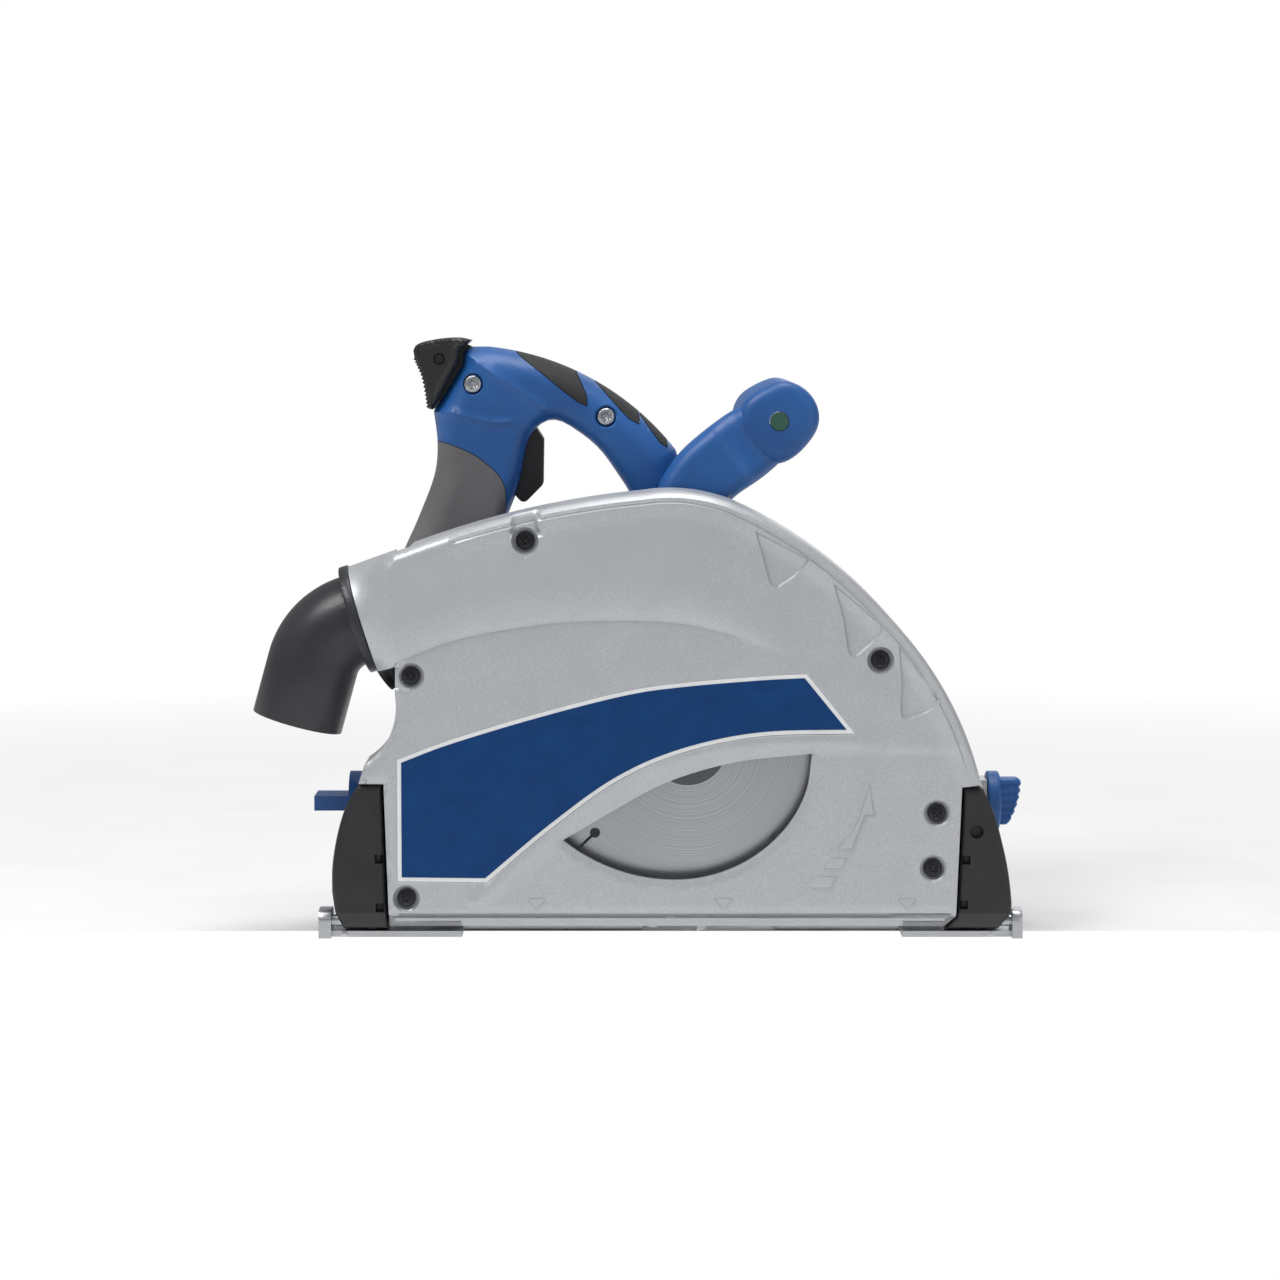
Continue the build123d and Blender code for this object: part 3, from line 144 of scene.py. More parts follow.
def makeMouldedPlastic(name, low, high, rough, texture=0.45, depth=0.04):
    # injection-moulded plastic with a spark-eroded texture that breaks up the gloss
    look = plasticLook
    made, tree, shader = newMaterial(name, Roughness=rough, IOR=look["ior"])
    spark = grainOf(tree, texture)
    tone = toneOf(tree, grainOf(tree, look["cloud"]), low, high)
    dress(tree, shader, tone, spark, rough, look["around"])
    bumpOf(tree, shader, spark, look["bump"], depth)
    return made


metalLook = {"detail": 3.0, "around": (-0.06, 0.08), "bump": 0.2}


def makeMetal(name, low, high, rough, size=0.6, stretch=(1, 1, 1), depth=0.02):
    # bare or plated metal with the marks of the tool that cut or rolled it
    look = metalLook
    made, tree, shader = newMaterial(name, Metallic=1.0, Roughness=rough)
    marks = grainOf(tree, size, look["detail"], stretch)
    dress(tree, shader, toneOf(tree, marks, low, high), marks, rough, look["around"])
    bumpOf(tree, shader, marks, look["bump"], depth)
    return made


filmLook = {"ior": 1.5, "specular": 0.25, "roll": 9, "darker": 7, "around": (-0.04, 0.05)}


def makeFilm(name, colour, rough):
    # printed vinyl film laid over the lacquer: flat colour with a slight roll in the gloss
    look = filmLook
    made, tree, shader = newMaterial(name, Roughness=rough, IOR=look["ior"], Specular_IOR_Level=look["specular"])
    roll = grainOf(tree, look["roll"])
    deeper = "#%02X%02X%02X" % tuple(max(0, int(colour[i:i + 2], 16) - look["darker"]) for i in (1, 3, 5))
    dress(tree, shader, toneOf(tree, roll, colour, deeper), roll, rough, look["around"])
    return made


bladeLook = {"rough": 0.3, "anisotropic": 0.65, "ringScale": 2200.0, "low": "#A4A7AB", "high": "#C8CACD",
             "bump": 0.3, "depth": 0.03}


def makeBladeSteel():
    # tool steel ground on a rotary table: fine rings round the bore that fan the highlight
    look = bladeLook
    made, tree, shader = newMaterial("groundBladeSteel", Metallic=1.0, Roughness=look["rough"],
                                     Anisotropic=look["anisotropic"])
    place = addNode(tree, "TexCoord")
    centred = addNode(tree, "VectorMath", {0: place.outputs["Object"], 1: bladeCentre}, operation="SUBTRACT")
    flat = addNode(tree, "VectorMath", {0: centred.outputs[0], 1: (1, 0, 1)}, operation="MULTIPLY")
    radius = addNode(tree, "VectorMath", {0: flat.outputs[0]}, operation="LENGTH")
    rings = addNode(tree, "TexNoise", {"W": radius.outputs["Value"], "Scale": look["ringScale"], "Detail": 2.0},
                    noise_dimensions="1D")
    tree.links.new(toneOf(tree, rings.outputs[0], look["low"], look["high"]), shader.inputs["Base Color"])
    bumpOf(tree, shader, rings.outputs[0], look["bump"], look["depth"])
    around = addNode(tree, "Tangent", direction_type="RADIAL", axis="Y")
    tree.links.new(around.outputs[0], shader.inputs["Tangent"])
    return made


armLean = math.asin((bladeSet["arborZ"] - headSwing["pivotZ"]) / bladeSet["arm"])
bladeCentre = ((headSwing["pivotX"] + bladeSet["arm"] * math.cos(armLean)) * mm, bladeSet["y"] * mm,
               bladeSet["arborZ"] * mm)
silver = makeSilverLacquer()
blueAbs = makeMouldedPlastic("mouldedBlueAbs", "#1C5598", "#2262AA", 0.42)
blackNylon = makeMouldedPlastic("mouldedBlackNylon", "#1C1C1E", "#242427", 0.45)
satinBlack = makeMouldedPlastic("satinBlackElbow", "#26272B", "#303136", 0.36, 0.8, 0.03)
greyRubber = makeMouldedPlastic("softGreyRubber", "#666466", "#737173", 0.72, 0.7, 0.08)
blackRubber = makeMouldedPlastic("softBlackRubber", "#1B1C1E", "#242527", 0.66, 0.7, 0.08)
greenPlug = makeMouldedPlastic("darkGreenPlug", "#2C5546", "#32604F", 0.5)
blueFilm = makeFilm("printedBlueFilm", "#00407A", 0.45)
whiteFilm = makeFilm("printedWhiteFilm", "#F7F8F8", 0.4)
aluminium = makeMetal("extrudedAluminium", "#B9BBBE", "#D2D4D6", 0.36, 0.5, (0.03, 1, 1))
castAluminium = makeMetal("castAluminium", "#A3A6A9", "#B9BBBE", 0.52, 1.2, (1, 1, 1), 0.06)
blackOxide = makeMetal("blackOxideSteel", "#343537", "#454649", 0.36)
darkSteel = makeMetal("burnishedFlangeSteel", "#5A5C5F", "#707275", 0.36)
zincSteel = makeMetal("zincPlatedSteel", "#A9ACB2", "#C4C7CB", 0.3)
springSteel = makeMetal("drawnSpringSteel", "#6F7276", "#8A8D91", 0.3)
gearSteel = makeMetal("hobbedGearSteel", "#7B7E82", "#95989C", 0.32)
copper = makeMetal("lacqueredCopperWire", "#A65A2C", "#C06E3A", 0.34, 0.9, (1, 0.2, 1), 0.2)
lamination = makeMetal("stackedLaminations", "#54575B", "#74777B", 0.5, 0.7, (0.05, 1, 0.05), 0.1)
carbon = makeMouldedPlastic("pressedCarbon", "#1A1A1B", "#252527", 0.6)
bladeSteel = makeBladeSteel()

finishOf = [
    (aluminium, "base_plate depth_scale"),
    (zincSteel, "hinge_pins clamp_bolts plunge_shaft knife_guide knife_guide_screws spindle_bearings "
                "motor_bearings handle_screws"),
    (whiteFilm, "bevel_scale"),
    (blackNylon, "rear_guide_adjuster front_guide_adjuster rear_end_cap front_end_cap depth_stop "
                 "spindle_lock_button cooling_fan motor_end_cap brush_caps trigger lock_off_lever switch_module"),
    (blueAbs, "rear_bevel_knob front_bevel_knob depth_stop_knob motor_housing handle_shell_near handle_shell_far "
              "front_grip"),
    (silver, "blade_cover guard_housing"),
    (blackOxide, "cover_screws riving_knife blade_bolt control_pins front_grip_screws"),
    (blueFilm, "sign_panel"),
    (springSteel, "shaft_circlip return_spring"),
    (satinBlack, "dust_elbow"),
    (castAluminium, "gear_case"),
    (bladeSteel, "saw_blade"),
    (gearSteel, "spindle spindle_gear motor_pinion rotor_shaft"),
    (darkSteel, "inner_flange outer_flange"),
    (lamination, "rotor_core stator"),
    (copper, "rotor_windings commutator"),
    (carbon, "carbon_brushes"),
    (greyRubber, "rear_grip_skin"),
    (blackRubber, "front_grip_inserts cord_gland"),
    (greenPlug, "front_grip_plug"),
]
for finish, members in finishOf:
    for name in members.split():
        for slot in nodes[name].material_slots:
            slot.material = finish
print("materials made")


def arcThrough(first, middle, last, count=14):
    # points along the circle through three points, without the last one
    (ax, ay), (bx, by), (cx, cy) = first, middle, last
    d = 2 * (ax * (by - cy) + bx * (cy - ay) + cx * (ay - by))
    aa, bb, cc = ax * ax + ay * ay, bx * bx + by * by, cx * cx + cy * cy
    ux = (aa * (by - cy) + bb * (cy - ay) + cc * (ay - by)) / d
    uy = (aa * (cx - bx) + bb * (ax - cx) + cc * (bx - ax)) / d
    radius = math.hypot(ax - ux, ay - uy)
    start = math.atan2(ay - uy, ax - ux)
    through = (math.atan2(by - uy, bx - ux) - start) % (2 * math.pi)
    sweep = (math.atan2(cy - uy, cx - ux) - start) % (2 * math.pi)
    if through > sweep:
        sweep -= 2 * math.pi
    return [(ux + radius * math.cos(start + sweep * i / count), uy + radius * math.sin(start + sweep * i / count))
            for i in range(count)]


def smoothLine(points, closed=False, count=8):
    # a Catmull-Rom line through the points
    pts = [np.array(p, float) for p in points]
    if closed:
        pts = [pts[-1]] + pts + [pts[0], pts[1]]
    else:
        pts = [2 * pts[0] - pts[1]] + pts + [2 * pts[-1] - pts[-2]]
    found = []
    for a, b, c, d in zip(pts, pts[1:], pts[2:], pts[3:]):
        for i in range(count):
            t = i / count
            found.append(tuple(0.5 * (2 * b + (c - a) * t + (2 * a - 5 * b + 4 * c - d) * t * t
                                      + (3 * b - a - 3 * c + d) * t ** 3)))
    if not closed:
        found.append(tuple(pts[-2]))
    return found


def resampled(path, step, closed=True):
    # the path with every run divided into pieces no longer than the step
    ends = path[1:] + path[:1] if closed else path[1:]
    found = []
    for a, b in zip(path, ends):
        parts = max(1, math.ceil(math.dist(a, b) / step - 0.001))
        found += [(a[0] + (b[0] - a[0]) * i / parts, a[1] + (b[1] - a[1]) * i / parts) for i in range(parts)]
    return found if closed else found + [path[-1]]


def inward(path, amount):
    # a closed path moved inwards, each corner along its bisector
    pts = np.array(path, float)
    area = np.sum(pts[:, 0] * np.roll(pts[:, 1], -1) - np.roll(pts[:, 0], -1) * pts[:, 1])
    ahead = np.roll(pts, -1, 0) - pts
    ahead /= np.linalg.norm(ahead, axis=1)[:, None] + 1e-9
    behind = np.roll(ahead, 1, 0)
    left = np.stack([-(ahead + behind)[:, 1], (ahead + behind)[:, 0]], 1)
    size = np.linalg.norm(left, axis=1)[:, None] + 1e-9
    spreadOut = np.minimum(2 / size, 2.2)
    return [tuple(p) for p in pts + left / size * spreadOut * amount * math.copysign(1, area)]


def clamped(value):
    return np.clip(value, 0, 1)


def awayFrom(path, x, z, closed=True):
    # distance of each point from a path
    a = np.array(path, float)
    b = np.roll(a, -1, 0) if closed else a[1:]
    a = a if closed else a[:-1]
    best = np.full(x.shape, 1e9)
    for (ax, az), (bx, bz) in zip(a, b):
        dx, dz = bx - ax, bz - az
        t = clamped(((x - ax) * dx + (z - az) * dz) / max(dx * dx + dz * dz, 1e-12))
        best = np.minimum(best, np.hypot(x - ax - t * dx, z - az - t * dz))
    return best


def within(path, x, z):
    # which points lie inside a closed path
    pts = np.array(path, float)
    found = np.zeros(x.shape, bool)
    for (ax, az), (bx, bz) in zip(pts, np.roll(pts, -1, 0)):
        if az != bz:
            found ^= ((az > z) != (bz > z)) & (x < (bx - ax) * (z - az) / (bz - az) + ax)
    return found


def easeStep(value, low, high):
    # 0 below the low end, 1 above the high one, smooth between
    t = clamped((value - low) / (high - low))
    return t * t * (3 - 2 * t)


def quarterRound(distance, radius):
    # 0 at an edge and 1 where the surface is flat, along a quarter circle
    return np.sqrt(1 - (1 - clamped(distance / radius)) ** 2)


def edgeFall(path, x, z, radius):
    # how far a rounded edge has fallen back from the flat
    return radius * (1 - quarterRound(awayFrom(path, x, z), radius))


def sunkShare(path, x, z, wall):
    # 1 on the floor of a recess, 0 outside it and a slope along its wall
    return clamped(awayFrom(path, x, z) / wall) * within(path, x, z)


def flatAt(y):
    return lambda x, z: y + 0 * x


def circleAt(x, z, radius, count=28):
    return [(x + radius * math.cos(2 * math.pi * i / count), z + radius * math.sin(2 * math.pi * i / count))
            for i in range(count)]


def circles(places, *radii):
    return [circleAt(x, z, radius) for x, z in places for radius in radii]


def insets(path, *amounts):
    return [inward(path, amount) for amount in amounts]


def rounded(path, radius, count=5):
    # a closed path with every corner eased by a small curve
    found = []
    for before, corner, after in zip(path[-1:] + path[:-1], path, path[1:] + path[:1]):
        b, c, a = (np.array(p, float) for p in (before, corner, after))
        first = c + (b - c) * min(radius / max(math.dist(b, c), 1e-6), 0.45)
        last = c + (a - c) * min(radius / max(math.dist(a, c), 1e-6), 0.45)
        for i in range(count):
            t = i / (count - 1)
            found.append(tuple(first * (1 - t) ** 2 + 2 * c * t * (1 - t) + last * t * t))
    return found


# row pitch and room round a fixed point are shares of the spacing; join is in millimetres, weld in metres
meshRules = {"rowPitch": 0.87, "room": 0.55, "join": 1e-5, "weld": 0.000004, "smoothAngle": 32}


def gridInside(points, spacing, inside):
    # rows of free points inside a piece, clear of the fixed points
    low, high = np.min(points, 0), np.max(points, 0)
    gx, gz = np.meshgrid(np.arange(low[0], high[0], spacing),
                         np.arange(low[1], high[1], spacing * meshRules["rowPitch"]))
    gx[1::2] += spacing / 2
    gx, gz = gx.ravel(), gz.ravel()
    keep = inside(gx, gz)
    gx, gz = gx[keep], gz[keep]
    near = np.full(gx.shape, 1e9)
    for px, pz in points:
        near = np.minimum(near, np.hypot(gx - px, gz - pz))
    keep = near > spacing * meshRules["room"]
    return list(zip(gx[keep], gz[keep]))


def reliefPiece(name, outline, front, back, finish, spacing=2.0, holes=(), lines=(), rings=(), turned=False,
                zone=None):
    # a closed solid over an outline in X and Z, whose front and back follow two functions of the place;
    # rings are closed feature lines and lines are open ones, which the mesh keeps as edges;
    # with a zone, only the part of the outline inside it is made
    def inside(x, z):
        found = within(outline, x, z) & (within(zone, x, z) if zone else True)
        for hole in holes:
            found &= ~within(hole, x, z)
        return found

    points, edges = [], []
    closedOnes = [(path, True) for path in (outline, *holes, *rings, *([zone] if zone else []))]
    for path, closed in closedOnes + [(path, False) for path in lines]:
        path = resampled(path, spacing, closed)
        first, size = len(points), len(path)
        points += path
        edges += [(first + i, first + (i + 1) % size) for i in range(size if closed else size - 1)]
    points += gridInside(points, spacing, inside)
    made = delaunay_2d_cdt([Vector(p) for p in points], edges, [], 0, meshRules["join"])
    flat = np.array([(v.x, v.y) for v in made[0]])
    faces = np.array([f for f in made[2] if len(f) == 3])
    faces = faces[inside(*flat[faces].mean(1).T)]
    used, faces = np.unique(faces, return_inverse=True)
    faces = faces.reshape(-1, 3).tolist()
    x, z = flat[used, 0], flat[used, 1]
    count = len(x)
    solid = np.concatenate([np.stack([x, side(x, z), z], 1) for side in (front, back)])
    around = dict.fromkeys(edge for a, b, c in faces for edge in ((a, b), (b, c), (c, a)))
    walls = [(b, a, a + count, b + count) for a, b in around if (b, a) not in around]
    shell = faces + [(c + count, b + count, a + count) for a, b, c in faces]
    if turned:
        solid = swungUp(solid)
    return meshPiece(name, solid * mm, shell + walls, finish)


def swungUp(points):
    # points of the head at full depth, moved to where they are at rest
    angle = math.radians(headSwing["travel"])
    dx, dz = points[:, 0] - headSwing["pivotX"], points[:, 2] - headSwing["pivotZ"]
    found = np.array(points, float)
    found[:, 0] = headSwing["pivotX"] + dx * math.cos(angle) - dz * math.sin(angle)
    found[:, 2] = headSwing["pivotZ"] + dx * math.sin(angle) + dz * math.cos(angle)
    return found


def tidyMesh(piece):
    # merged, facing outwards and smooth up to an angle
    bpy.ops.object.select_all(action="DESELECT")
    bpy.context.view_layer.objects.active = piece
    piece.select_set(True)
    bpy.ops.object.mode_set(mode="EDIT")
    bpy.ops.mesh.select_all(action="SELECT")
    bpy.ops.mesh.remove_doubles(threshold=meshRules["weld"])
    bpy.ops.mesh.normals_make_consistent(inside=False)
    bpy.ops.object.mode_set(mode="OBJECT")
    bpy.ops.object.shade_smooth_by_angle(angle=math.radians(meshRules["smoothAngle"]))


def meshPiece(name, points, faces, finish):
    mesh = bpy.data.meshes.new(name)
    mesh.from_pydata([tuple(p) for p in points], [], faces)
    made = bpy.data.objects.new(name, mesh)
    bpy.context.scene.collection.objects.link(made)
    mesh.materials.append(finish)
    tidyMesh(made)
    return made


# blade cover: a cast skin over the CAD shell, with its bulge, recesses, rib, rim bead and bevelled window
coverLook = {
    "shell": -90.1, "back": -89.9, "lift": 1.6, "lowerDrop": 0.6, "lowerRun": 1.4,
    "bulge": 2.9, "bulgeWidth": 17, "bulgeEnd": (5, 58), "creaseSlope": 0.95,
    "ribHeight": 0.9, "ribHalf": 2.7, "ribEnd": 82, "ribFade": 12,
    "bead": 1.25, "beadWidth": 4.4, "beadFade": 12, "groove": 0.5, "grooveHalf": 0.6,
    "beadFromX": (-112, -80), "beadFromZ": (64, 80), "rimWidth": 2.7, "rimWiden": 3.4, "restRound": 1.8,
    "windowBevel": 2.4, "recess": 1.3, "recessWall": 0.8, "pocketDepth": 0.9, "leastProud": 0.5,
    "panelSink": 0.35, "panelWall": 0.5, "screwHole": 5.0, "screwWall": 0.8, "screwRing": 5.8,
    "chamferFrom": 11.6, "chamferBackFrom": 11.5, "chamferDepth": 7, "footEase": (11.8, 13.6),
    "throatX": -118.45, "throatFromZ": 108,
}
ductLook = {"y": -67.5, "radius": 23.0, "bore": 22.3, "axisX": -132.9, "axisZ": 135.8, "lean": 17, "flatHalf": 23.2,
            "flatEase": 5, "blend": (-137, -118.6)}
rimTop = (arcThrough((-112, 167.5), (-65, 181.7), (-14, 190), 30) + arcThrough((-14, 190), (8, 190.2), (24.1, 186))
          + arcThrough((24.1, 186), (61.2, 164.5), (92, 135.8), 24)
          + arcThrough((92, 135.8), (114.3, 105.4), (129.5, 66.4), 22) + [(129.5, 66.4)])
ductTop = [(-139.4, 157.6), (-125.7, 162.6)]
frontSide = [(121.4, 65.4), (119.2, 9.9), (114.8, 5.1)]
rearSide = [(-121.5, 5.1), (-123.6, 66.8), (-134.2, 66.8)]
waist = arcThrough((-131.6, 75), (-120.5, 88), (-118.5, 104), 10) + [(-118.5, 104)]
ductLow = [(-118.4, 116.6), (-126, 114.2)]
topLine = ductTop + rimTop
restLine = frontSide + rearSide + waist + ductLow
coverOutline = topLine + restLine
sightWindow = (
    smoothLine([(-47.7, 42.8), (-27.4, 54.8), (-4.2, 67.3), (25, 76), (57.8, 79.7)])[:-1]
    + smoothLine([(57.8, 79.7), (54.9, 62.1), (45.1, 45.8), (29.5, 33), (12.7, 27), (-4.5, 25.9), (-21.1, 28.7),
                  (-37.1, 35.1), (-47.7, 42.8)])[:-1])
creaseLine = smoothLine([
    (-134, 111.6), (-126.2, 114), (-120.7, 116.2), (-105.5, 123.6), (-89, 129), (-65, 133.4), (-41.4, 135.8),
    (-6.3, 135.8), (20.7, 131.1), (40.1, 124.7), (54, 119)])
lowerEdge = [(-88, 10.5)] + smoothLine([
    (-86.5, 11.6), (-68, 26.5), (-47.3, 43.9), (-37.1, 54.5), (-14.8, 68.9), (13.1, 77.3), (35.9, 80.8), (57.8, 82),
    (80, 82.4), (124, 81.4)])
ribLine = smoothLine([
    (-84.5, 16.5), (-80, 20.3), (-60, 39), (-37, 58.2), (-16.5, 71), (4.6, 78.6), (28.7, 83.6), (53.2, 85.3),
    (78, 85.4)])
decalLine = (
    smoothLine([(-117.7, 77.2), (-96.1, 85.4), (-58.9, 96.7), (-21.8, 106.2), (3, 109.9), (35.9, 112.7),
                (55.3, 113.7)])
    + smoothLine([(75.7, 88.5), (35.9, 87.3), (3, 80.4), (-24.3, 68.5), (-51.5, 49), (-80, 25.1)]) + [(-117.7, 25.5)])
rimRecesses = [
    [(33.2, 174.4), (36.4, 163.5), (38.9, 153.6), (40.4, 150.8), (43.2, 150.2), (49.7, 154.5), (54, 158.8),
     (56.6, 162.2)],
    [(66.4, 152), (70.5, 137), (72.4, 124), (73.6, 121.3), (76.4, 120.9), (82.6, 126.2), (86.4, 130.4),
     (87.7, 134.2)],
    [(93.9, 126), (95.2, 112), (94.8, 97.4), (95.8, 94.7), (98.8, 94.3), (106, 97), (110.2, 100.2),
     (111.6, 103)],
]
raisedMarks = [
    smoothLine([(68.6, 39.1), (73.4, 44.9), (77, 50.8), (80, 59.6), (82.3, 67.7)], False, 4)
    + [(84.1, 52.9), (80.4, 53.9), (74.7, 39.1)],
    [(65.8, 35.4), (72.6, 35.4), (70.2, 30.7), (62.5, 30.7)],
    [(59.9, 27.5), (68.3, 27.5), (65.6, 22.6), (54.4, 22.6)],
] + [[(x - 4, 18.0), (x + 4, 18.0), (x, 12.6)] for x in (-58.9, 20.4, 98.2)]
screwPlaces = [(-63.3, 170), (-111.8, 112.7), (-114.1, 18), (86.5, 119.5), (110.8, 54.4), (109.3, 30.8)]
openPockets = [
    [(-69, 181.2), (-68.7, 168), (-66.5, 164.9), (-63.3, 163.8), (-60.1, 164.9), (-57.9, 168), (-57.8, 183.6)],
    [(-118.6, 118.2), (-110, 118.2), (-106.9, 115.6), (-106, 112.7), (-106.9, 109.4), (-110, 107), (-118.6, 107)],
]


def ductAcross(x, z):
    # distance from the leaning axis of the dust duct
    lean = math.radians(ductLook["lean"])
    return -(x - ductLook["axisX"]) * math.sin(lean) + (z - ductLook["axisZ"]) * math.cos(lean)


def ductSide(x, z, radius):
    return ductLook["y"] - np.sqrt(np.clip(radius ** 2 - ductAcross(x, z) ** 2, 0, None))


def atThroat(x, z):
    return (x < coverLook["throatX"]) & (z > coverLook["throatFromZ"])


def coverBulge(x, z):
    # the bulge over the blade above the crease, and its height where it is full
    look = coverLook
    crease = np.array(creaseLine)
    above = (z - np.interp(x, crease[:, 0], crease[:, 1])) * look["creaseSlope"]
    tall = look["bulge"] * (1 - easeStep(x, *look["bulgeEnd"]))
    return np.where(above > 0, tall * quarterRound(above, look["bulgeWidth"]), 0), tall


def coverProud(x, z, bulge, tall, rimEdge):
    # how far the skin stands out of the shell before its edges are eased
    look = coverLook
    edge = np.array(lowerEdge)
    under = np.interp(x, edge[:, 0], edge[:, 1]) - z
    under = np.where(x < edge[0, 0], -5, under)
    proud = look["lift"] + bulge - look["lowerDrop"] * easeStep(under, 0, look["lowerRun"])
    rib = clamped(1 - (awayFrom(ribLine, x, z, False) / look["ribHalf"]) ** 2)
    proud += look["ribHeight"] * np.sqrt(rib) * clamped((look["ribEnd"] - x) / look["ribFade"])
    proud += (look["lift"] - look["panelSink"] - proud) * sunkShare(decalPocket, x, z, look["panelWall"])
    for recess in rimRecesses:
        proud -= look["recess"] * sunkShare(recess, x, z, look["recessWall"])
    for pocket, deep in zip(openPockets, (tall + look["pocketDepth"], look["pocketDepth"])):
        proud -= np.minimum(deep, proud - look["leastProud"]) * sunkShare(pocket, x, z, look["recessWall"])
    ends = easeStep(x, *look["beadFromX"]) * easeStep(z, *look["beadFromZ"])
    proud += look["bead"] * (1 - 0.5 * bulge / look["bulge"]) * ends * (
        1 - easeStep(rimEdge, look["beadWidth"], look["beadFade"]))
    return proud - look["groove"] * ends * clamped(1 - np.abs(rimEdge - look["beadWidth"]) / look["grooveHalf"])


def coverSoften(x, z, bulge, rimEdge):
    # the share of the relief that is left beside the rim, the window, the screws and the foot
    look = coverLook
    rimWidth = look["rimWidth"] + look["rimWiden"] * bulge / look["bulge"]
    soften = clamped(rimEdge / look["rimWidth"]) * 0.45 + 0.55 * quarterRound(rimEdge, rimWidth)
    soften *= quarterRound(awayFrom(restLine, x, z, False), look["restRound"]) * 0.9 + 0.1
    soften *= clamped(awayFrom(sightWindow, x, z) / look["windowBevel"])
    for sx, sz in screwPlaces:
        soften *= clamped((np.hypot(x - sx, z - sz) - look["screwHole"]) / look["screwWall"])
    # flush with the shell at the foot, so that the chamfer clears the base when it tilts
    return soften * easeStep(z, *look["footEase"])


def coverFront(x, z):
    look = coverLook
    bulge, tall = coverBulge(x, z)
    rimEdge = awayFrom(topLine, x, z, False)
    relief = coverProud(x, z, bulge, tall, rimEdge) * coverSoften(x, z, bulge, rimEdge)
    face = look["shell"] - relief + np.clip(look["chamferFrom"] - z, 0, look["chamferDepth"])
    beside = (ductLook["flatHalf"] - np.abs(ductAcross(x, z))) / ductLook["flatEase"]
    flat = look["shell"] - (look["lift"] + bulge) * clamped(beside) ** 0.5
    share = easeStep(x, *ductLook["blend"])
    tube = ductSide(x, z, ductLook["radius"])
    return np.where(atThroat(x, z), tube * (1 - share) + flat * share, face)


def coverBack(x, z):
    look = coverLook
    plain = look["back"] + np.clip(look["chamferBackFrom"] - z, 0, look["chamferDepth"])
    return np.where(atThroat(x, z), ductSide(x, z, ductLook["bore"]), plain)


decalPocket = inward(decalLine, -0.7)
# lines kept as edges: the crease, the lower edge of the blade's field, the chamfer, the foot, the throat, the bead
chamferZ, footZ = coverLook["chamferFrom"], coverLook["footEase"][1]
skinLines = [creaseLine[6:-2], [(x, z + 0.9) for x, z in creaseLine[6:-6]], lowerEdge[1:-8]]
skinLines += [[(low, z), (high, z)] for low, high, z in (
    (-117, -88, chamferZ), (-87, 117, chamferZ), (-109, -89, footZ), (-82, 104, footZ))]
skinLines.append([(coverLook["throatX"], z) for z in (117.2, 165)])
beadRings = [inward(coverOutline, coverLook["beadWidth"] + d) for d in (-3.8, -3.0, -1.8, -0.6, 0, 0.6)]
skinLines += [ring[8:len(topLine) - 2] for ring in beadRings]
skin = reliefPiece(
    "coverSkin", coverOutline, coverFront, coverBack, silver,
    holes=[sightWindow] + circles(screwPlaces, coverLook["screwHole"]),
    rings=[ring for path in rimRecesses for ring in (path, inward(path, coverLook["recessWall"]))]
    + [decalPocket, inward(decalPocket, coverLook["panelWall"]), inward(sightWindow, -coverLook["windowBevel"])]
    + circles(screwPlaces, coverLook["screwRing"]),
    lines=skinLines,
)
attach(skin, "guard")
print("cover skin made:", len(skin.data.polygons), "faces")

# cast marks, plain arrows that show the blade's turn and the depth of cut
markLook = {"proud": 0.75, "sunk": 0.4, "slope": 0.35, "leastShare": 0.15}
for index, mark in enumerate(raisedMarks):
    made = reliefPiece("castMark%d" % (index + 1), mark,
                       lambda x, z: coverFront(x, z) - markLook["proud"] * np.clip(
                           awayFrom(mark, x, z) / markLook["slope"], markLook["leastShare"], 1),
                       lambda x, z: coverFront(x, z) + markLook["sunk"], silver, 1.5,
                       rings=[inward(mark, markLook["slope"])])
    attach(made, "guard")

# printed panel: a white film with a blue film inset on it, bare of any name
panelLook = {"back": -91.25, "white": -91.62, "blue": -91.78, "border": 1.7}


def filmPiece(name, outline, depth, finish):
    made = reliefPiece(name, outline, flatAt(depth), flatAt(panelLook["back"]), finish, 9.0)
    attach(made, "guard")
    return made


borderFilm = filmPiece("panelBorderFilm", decalLine, panelLook["white"], whiteFilm)
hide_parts("sign_panel")
filmPiece("panelBlueFilm", inward(decalLine, panelLook["border"]), panelLook["blue"], blueFilm)
print("panel made")

# end caps and front knob
capLook = {"face": -89.6, "back": -62.2, "round": 2.2, "chamferFrom": 11.4, "chamferRun": 7.8, "chamferDepth": 6.6,
           "notch": 3.4, "notchHalf": (1.7, 1.9), "notchFloor": (1.4, 1.6), "wall": 0.3, "bore": 2.9, "boreFloor": 2.6}
rearCapOutline = [(-124.6, 66.3), (-122.6, 3.6), (-141.6, 3.6), (-144.7, 11.6)] + smoothLine([
    (-145.9, 20.3), (-145.7, 31.4), (-143.6, 44.4), (-139.9, 56.6), (-134.4, 66.3)])
frontCapOutline = [(122.4, 64.7), (130, 64.9)] + smoothLine([
    (130.6, 64.2), (135.4, 53.4), (138.8, 41.4), (141.4, 29.4), (142.9, 17.4), (142.9, 11.1)]) + [
    (138, 3.6), (115.6, 3.6), (120, 9.6)]


